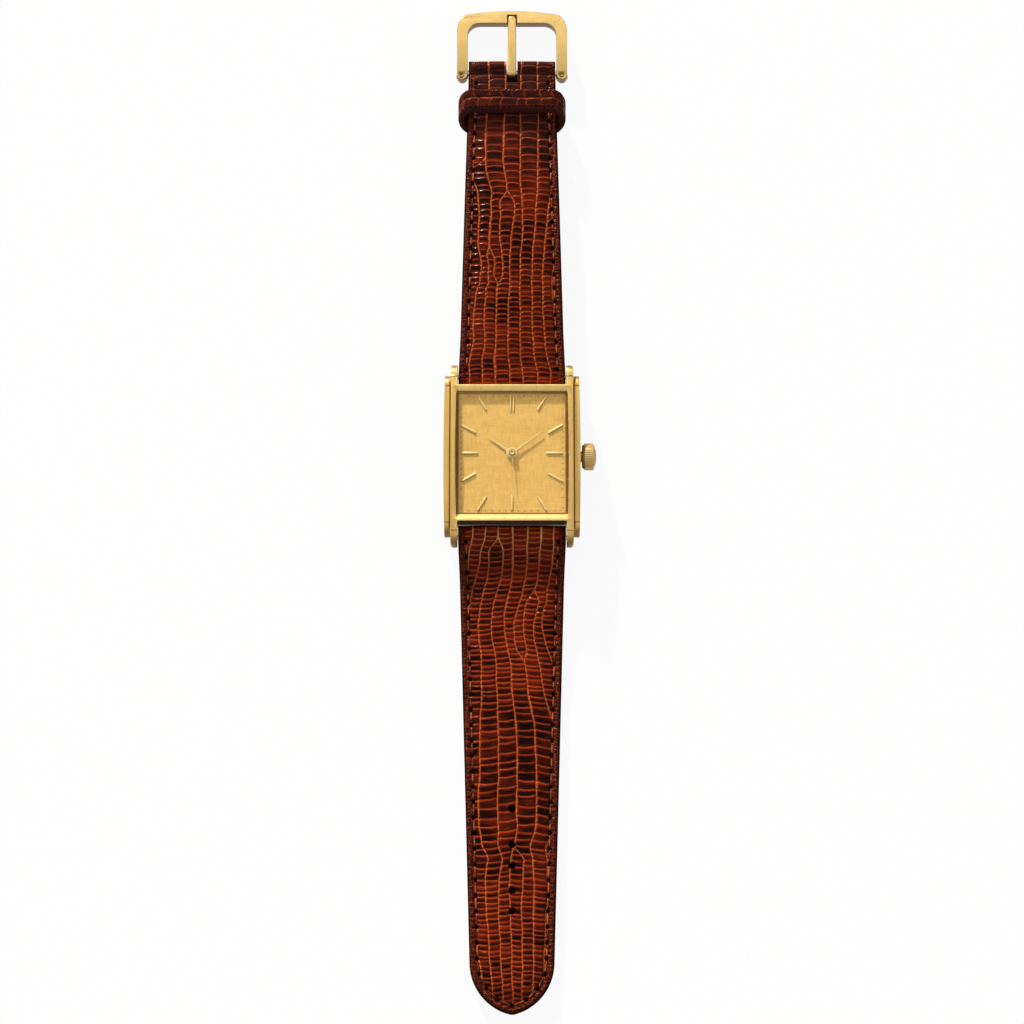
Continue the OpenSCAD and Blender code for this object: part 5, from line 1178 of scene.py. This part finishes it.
stations = np.concatenate([nose, np.arange(0, tail_start, 0.185), tip_stations(0.03, 70)])
rings = strap_rings(stations, long_half, long_top, long_seam, True, columns, under)
long_pattern = dict(
    pitch=[(0, 2.5), (15, 2.15), (28, 2.55), (37, 3.1), (52, 3.2), (60, 2.35), (72, 1.9), (88, 1.55)],
    cross_pitch=[(0, 0.95), (28, 0.95), (35, 1.5), (52, 1.6), (60, 1.1), (70, 0.95), (88, 0.9)],
    drift=[(0, 0.2), (5, 0.1), (16, -1.4), (26, -0.2), (36, 0.8), (53, 0.9), (61, -0.45), (74, -0.2),
           (88, 0.3)],
    splits=[(5, 0.4, True), (10, 9.8, True), (9, 23.0, False), (7, 57.0, True)], seed=11)
# A painted highlight on the first millimetres next to the case, and no painted shade.
values = skin_values(rings, columns, long_half, True, long_holes, buckle_holes, long_pattern,
                     lambda s: 0.0 * s, lambda s: 0.8 - 0.8 * smooth(-1.0, 6.5, s))
rings[..., 1] += bar_y
# The first rows at the nose's end get edge paint as well: painted shade next to the case.
long_mesh = loft("strap_long_leather", rings, values, strip_slots(columns, under), flip_y=True, painted=4)
long_mesh.materials.append(lizard_skin)
long_mesh.materials.append(edge_paint)
long_leather = finish_piece(long_mesh, "strap_long_leather", "strap_6")
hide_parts("strap_6_upper")

# %% [markdown]
# ## Linings
# A calf lining is glued under each part. It is a thinner loft with rounded edges, and the same holes are
# pressed into its lower side.

# %% Linings


def lining(name, node, body, stations, half, bottom, pointed, holes, big_holes):
    """A lining under a strap part. The pointed one belongs to the long part, the other has the slot."""
    columns, under = 30, 90
    needle_depth, punched_depth = 0.12, 0.7
    needle_wide, needle_long = 0.30, 0.40

    def seam(d):
        """The line between skin and lining."""
        return bottom(d) + lining_t

    rings = strap_rings(stations, half, seam, bottom, pointed, columns, under)
    rings[:, :columns, 2] = np.broadcast_to(seam(stations[:, None]), (len(stations), columns)) - hair
    x, d = rings[..., 0], rings[..., 1]
    needle = hole_distance(x, d, holes, needle_wide, needle_long)
    punched = hole_distance(x, d, big_holes, punched_r, punched_r)
    low = np.zeros(x.shape)
    low[:, columns + 2:columns + 2 + under] = 1.0
    press = needle_depth * (1 - smooth(0.6, 1.2, needle)) + punched_depth * (1 - smooth(0.85, 1.1, punched))
    rings[..., 2] += low * press
    values = {"hole": np.minimum(needle, punched) + no_hole * (1 - low)}
    if not pointed:
        rings = cut_notch(rings, gap=0.15)
    rings[..., 1] += bar_y
    mesh = loft(name, rings, values, strip_slots(columns, under), flip_y=pointed)
    mesh.materials.append(lining_leather)
    mesh.materials.append(edge_paint)
    piece = finish_piece(mesh, name, body)
    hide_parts(node)


def short_under(d):
    """The underside of the short part's lining."""
    return short_middle(d) - thickness(d) / 2


short_stations = np.arange(lining_full, strap_reach - 0.45, 0.3)
short_stations = np.sort(np.append(short_stations, [notch_d - hair, notch_d + hair]))
lining("strap_short_lining", "strap_12_lining", "strap_12", short_stations, short_half, short_under, False,
       short_holes, [])
long_stations = np.concatenate([np.arange(lining_full, tail_start, 0.3), tip_stations(0.04, 40)])
lining("strap_long_lining", "strap_6_lining", "strap_6", long_stations, long_half, long_bottom, True,
       long_holes, buckle_holes)

# %% [markdown]
# ## Thread
# The thread shows between two needle holes as a short waxed stitch, light where it catches the lamp. One
# stitch is modelled once as a stretched ball, and Geometry Nodes lay it along every edge of a line
# through the needle holes, with the edge's own length and direction.

# %% Waxed thread
thread, tree, shader = new_material("waxed_thread", specular_ior_level=0.2)
waved = {"Vector": object_point(tree, (1, 1, 1)), "Scale": 1.6, "Distortion": 2.0}
twist = add_node(tree, "ShaderNodeTexWave", waved, bands_direction="DIAGONAL").outputs["Fac"]
dirt = noise(tree, object_point(tree, (0.8, 0.8, 0.8)), 1.0, 3.0)
yarn = mix(tree, ramp(tree, dirt, 0.4, 0.62), rgb(84, 34, 18), rgb(200, 116, 66))
yarn = mix(tree, maths(tree, "MULTIPLY", twist, 0.35), yarn, rgb(70, 34, 20))
tree.links.new(yarn, shader.inputs["Base Color"])
tree.links.new(ramp(tree, twist, 0.0, 1.0, 0.32, 0.5), shader.inputs["Roughness"])
tree.links.new(bump(tree, twist, 0.03), shader.inputs["Normal"])

# %% Stitches by Geometry Nodes
stitch_sizes = {"Thread Width": 0.27 * MM, "Share Of Gap": 0.36, "Flatness": 0.7}
tree, start, end, stitch_keys = geometry_tree("stitches", stitch_sizes)
stitch_tree, size = tree, start.outputs
ends = tree.nodes.new("GeometryNodeInputMeshEdgeVertices")
run = add_node(tree, "ShaderNodeVectorMath", {0: ends.outputs["Position 2"], 1: ends.outputs["Position 1"]},
               operation="SUBTRACT")
stored = add_node(tree, "GeometryNodeStoreNamedAttribute", {"Geometry": size["Geometry"], "Name": "run"},
                  data_type="FLOAT_VECTOR", domain="EDGE")
tree.links.new(run.outputs[0], stored.inputs["Value"])
dots = add_node(tree, "GeometryNodeMeshToPoints", {"Mesh": stored.outputs[0]}, mode="EDGES")
read = add_node(tree, "GeometryNodeInputNamedAttribute", {"Name": "run"}, data_type="FLOAT_VECTOR")
length = add_node(tree, "ShaderNodeVectorMath", {0: read.outputs[0]}, operation="LENGTH").outputs["Value"]
facing = add_node(tree, "FunctionNodeAlignRotationToVector", {"Vector": read.outputs[0]}, axis="X")
ball = add_node(tree, "GeometryNodeMeshUVSphere", {"Segments": 8, "Rings": 6, "Radius": 0.5})
stretch = maths(tree, "MULTIPLY", length, maths(tree, "MULTIPLY", size["Share Of Gap"], 2.0))
flat = maths(tree, "MULTIPLY", size["Thread Width"], size["Flatness"])
scaled = add_node(tree, "ShaderNodeCombineXYZ", {0: stretch, 1: size["Thread Width"], 2: flat})
laid = add_node(tree, "GeometryNodeInstanceOnPoints", {"Points": dots.outputs[0], "Instance": ball.outputs[0],
                "Rotation": facing.outputs[0], "Scale": scaled.outputs[0]})
real = add_node(tree, "GeometryNodeRealizeInstances", {0: laid.outputs[0]})
smoothed = add_node(tree, "GeometryNodeSetShadeSmooth", {0: real.outputs[0]})
threaded = add_node(tree, "GeometryNodeSetMaterial", {0: smoothed.outputs[0], "Material": thread})
tree.links.new(threaded.outputs[0], end.inputs[0])

# %% Laying the stitches


def hole_line(holes, levels, name, flip):
    """A mesh of edges through the needle holes of both sides, at the given heights."""
    points, edges = [], []
    for side in (-1, 1):
        first = len(points)
        for (x, d), z in zip(holes, levels):
            y = (bar_y + d) * (-1 if flip else 1)
            points.append((side * x * MM, y * MM, z * MM))
        edges += [(first + i, first + i + 1) for i in range(len(holes) - 1)]
    mesh = bpy.data.meshes.new(name)
    mesh.from_pydata(points, edges, [])
    return mesh


def stitch(name, holes, levels, body, flip):
    """Both seams of one side of a strap part."""
    line = hole_line(holes, levels, name + "_line", flip)
    grown(line, name, stitch_tree, stitch_keys, stitch_sizes, body)


thread_lift, under_lift = 0.05, 0.06


def on_top(holes, top, half, pointed):
    """The height of the skin at each needle hole, and a little more."""
    edge = edge_distance(holes[:, 0], holes[:, 1], half, pointed)
    return top(holes[:, 1]) - crowned(edge) + thread_lift


# The linings start a way in from the lugs, so their seams miss the first needle holes
short_lined, long_lined = short_holes[2:], long_holes[2:]
stitch("thread_short", short_holes, on_top(short_holes, short_top, short_half, False), "strap_12", False)
stitch("thread_long", long_holes, on_top(long_holes, long_top, long_half, True), "strap_6", True)
stitch("thread_short_under", short_lined, short_under(short_lined[:, 1]), "strap_12", False)
stitch("thread_long_under", long_lined, long_bottom(long_lined[:, 1]) + under_lift, "strap_6", True)

# %% [markdown]
# ## Keeper
# The keeper is a short band of the same skin, closed to an oval loop round the strap. It leans towards the
# buckle. Its section is a flat bar with rounded corners, which is carried round the oval. A groove runs
# round its middle between two rows of scales, and its cut edges are plain dark leather.

# %% Shape of the keeper
loop_low, loop_high = node_box("keeper")
loop_r, wall, band, lean = (loop_high[2] - loop_low[2]) / 2, 1.1, 4.0, 3.6
loop_half = loop_high[0] - loop_r
mid_r = loop_r - wall / 2
corner, corner_run = 0.12, 0.5
edge_high, edge_low = 0.25, -0.3
over, around, below = 89, 40, 48
turns = np.linspace(0, np.pi, around)
side_x = np.concatenate([
    np.linspace(loop_half, -loop_half, over + 1)[:-1], -loop_half - mid_r * np.sin(turns),
    np.linspace(-loop_half, loop_half, below + 2)[1:-1], loop_half + mid_r * np.sin(turns)])
out_x = np.concatenate([np.zeros(over), -np.sin(turns), np.zeros(below), np.sin(turns)])
out_z = np.concatenate([np.ones(over), np.cos(turns), -np.ones(below), -np.cos(turns)])
side_z = mid_r * out_z

outer_points, outer_margin = 26, 0.10
outer_v = np.linspace(outer_margin, band - outer_margin, outer_points)
section = [(v, wall / 2 - corner * (1 - smooth(0, corner_run, min(v, band - v)))) for v in outer_v]
section += [(band, edge_high), (band, edge_low)]
section += [(v, -wall / 2) for v in (band - 0.1, band * 0.66, band * 0.33, 0.1)]
section += [(0.0, edge_low), (0.0, edge_high)]
v, off = np.array(section).T[:, None, :]

# %% Skin of the keeper
rounds = np.concatenate([[0], np.cumsum(np.hypot(np.diff(side_x), np.diff(side_z)))])[:, None]
even = {key: [(0, value), (60, value)]
        for key, value in (("pitch", 1.9), ("cross_pitch", 2.4), ("drift", 0.1))}
field = scale_field(v + 0.0 * rounds - band / 2, rounds + 0.0 * v, **even, splits=[], seed=21, count=5)
outer = off > 0.3
groove_depth, row_depth = 0.10, 0.05
press = groove_depth * np.exp(-(field["long_groove"] / long_width) ** 2)
press = (press + row_depth * np.exp(-(field["cross_groove"] / cross_width) ** 2)) * outer
x = side_x[:, None] + out_x[:, None] * (off - press)
z = side_z[:, None] + out_z[:, None] * (off - press)
y = loop_low[1] + v + lean * (z + loop_r) / (2 * loop_r)
rings = np.stack([x, y, z + loop_low[2] + loop_r], -1)
# The groove is worn shallow here and there, and the inside of the loop has no pattern
no_groove, keeper_shade_and_sheen = 3.0, 0.8
field["long_groove"] = field["long_groove"] + 0.05 + 0.05 * waves(rounds, 1, 4, 9.0)
values = {key: np.where(outer, value, no_groove) for key, value in field.items()}
values["margin"] = np.where(outer, (np.minimum(v, band - v) + 0.0 * z) * 1.2 + 0.6, no_groove)
values["hole"] = np.full(z.shape, no_hole)
# The keeper's whole skin gets painted shade and sheen.
values["shade_and_sheen"] = np.full(z.shape, keeper_shade_and_sheen)
values["painted_highlight"] = np.zeros(z.shape)

index = np.arange(rings.shape[0] * rings.shape[1]).reshape(rings.shape[:2])
turned, following = np.roll(index, -1, axis=1), np.roll(index, -1, axis=0)
faces = np.stack([index, turned, np.roll(turned, -1, axis=0), following], -1).reshape(-1, 4)
# Strips round the section: the outside, three over a cut edge, three inside and three over the other edge
cut = np.tile(np.array([0] * (outer_points - 1) + [1] * 3 + [0] * 3 + [1] * 3), rings.shape[0])
keeper_mesh = leather_mesh("keeper_loop", rings.reshape(-1, 3), faces.tolist(), cut.tolist(), values)

# %% Cut leather and the finished keeper
cut_leather, tree, shader = new_material("cut_leather", roughness=0.5, specular_ior_level=0.05)
fibres = noise(tree, object_point(tree, (2, 6, 6)), 1.0, 3.0)
tree.links.new(mix(tree, fibres, rgb(24, 9, 8), rgb(72, 34, 26)), shader.inputs["Base Color"])
tree.links.new(bump(tree, fibres, 0.02), shader.inputs["Normal"])
keeper_mesh.materials.append(lizard_skin)
keeper_mesh.materials.append(cut_leather)
keeper = finish_piece(keeper_mesh, "keeper_loop", "strap_12")
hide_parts("keeper")
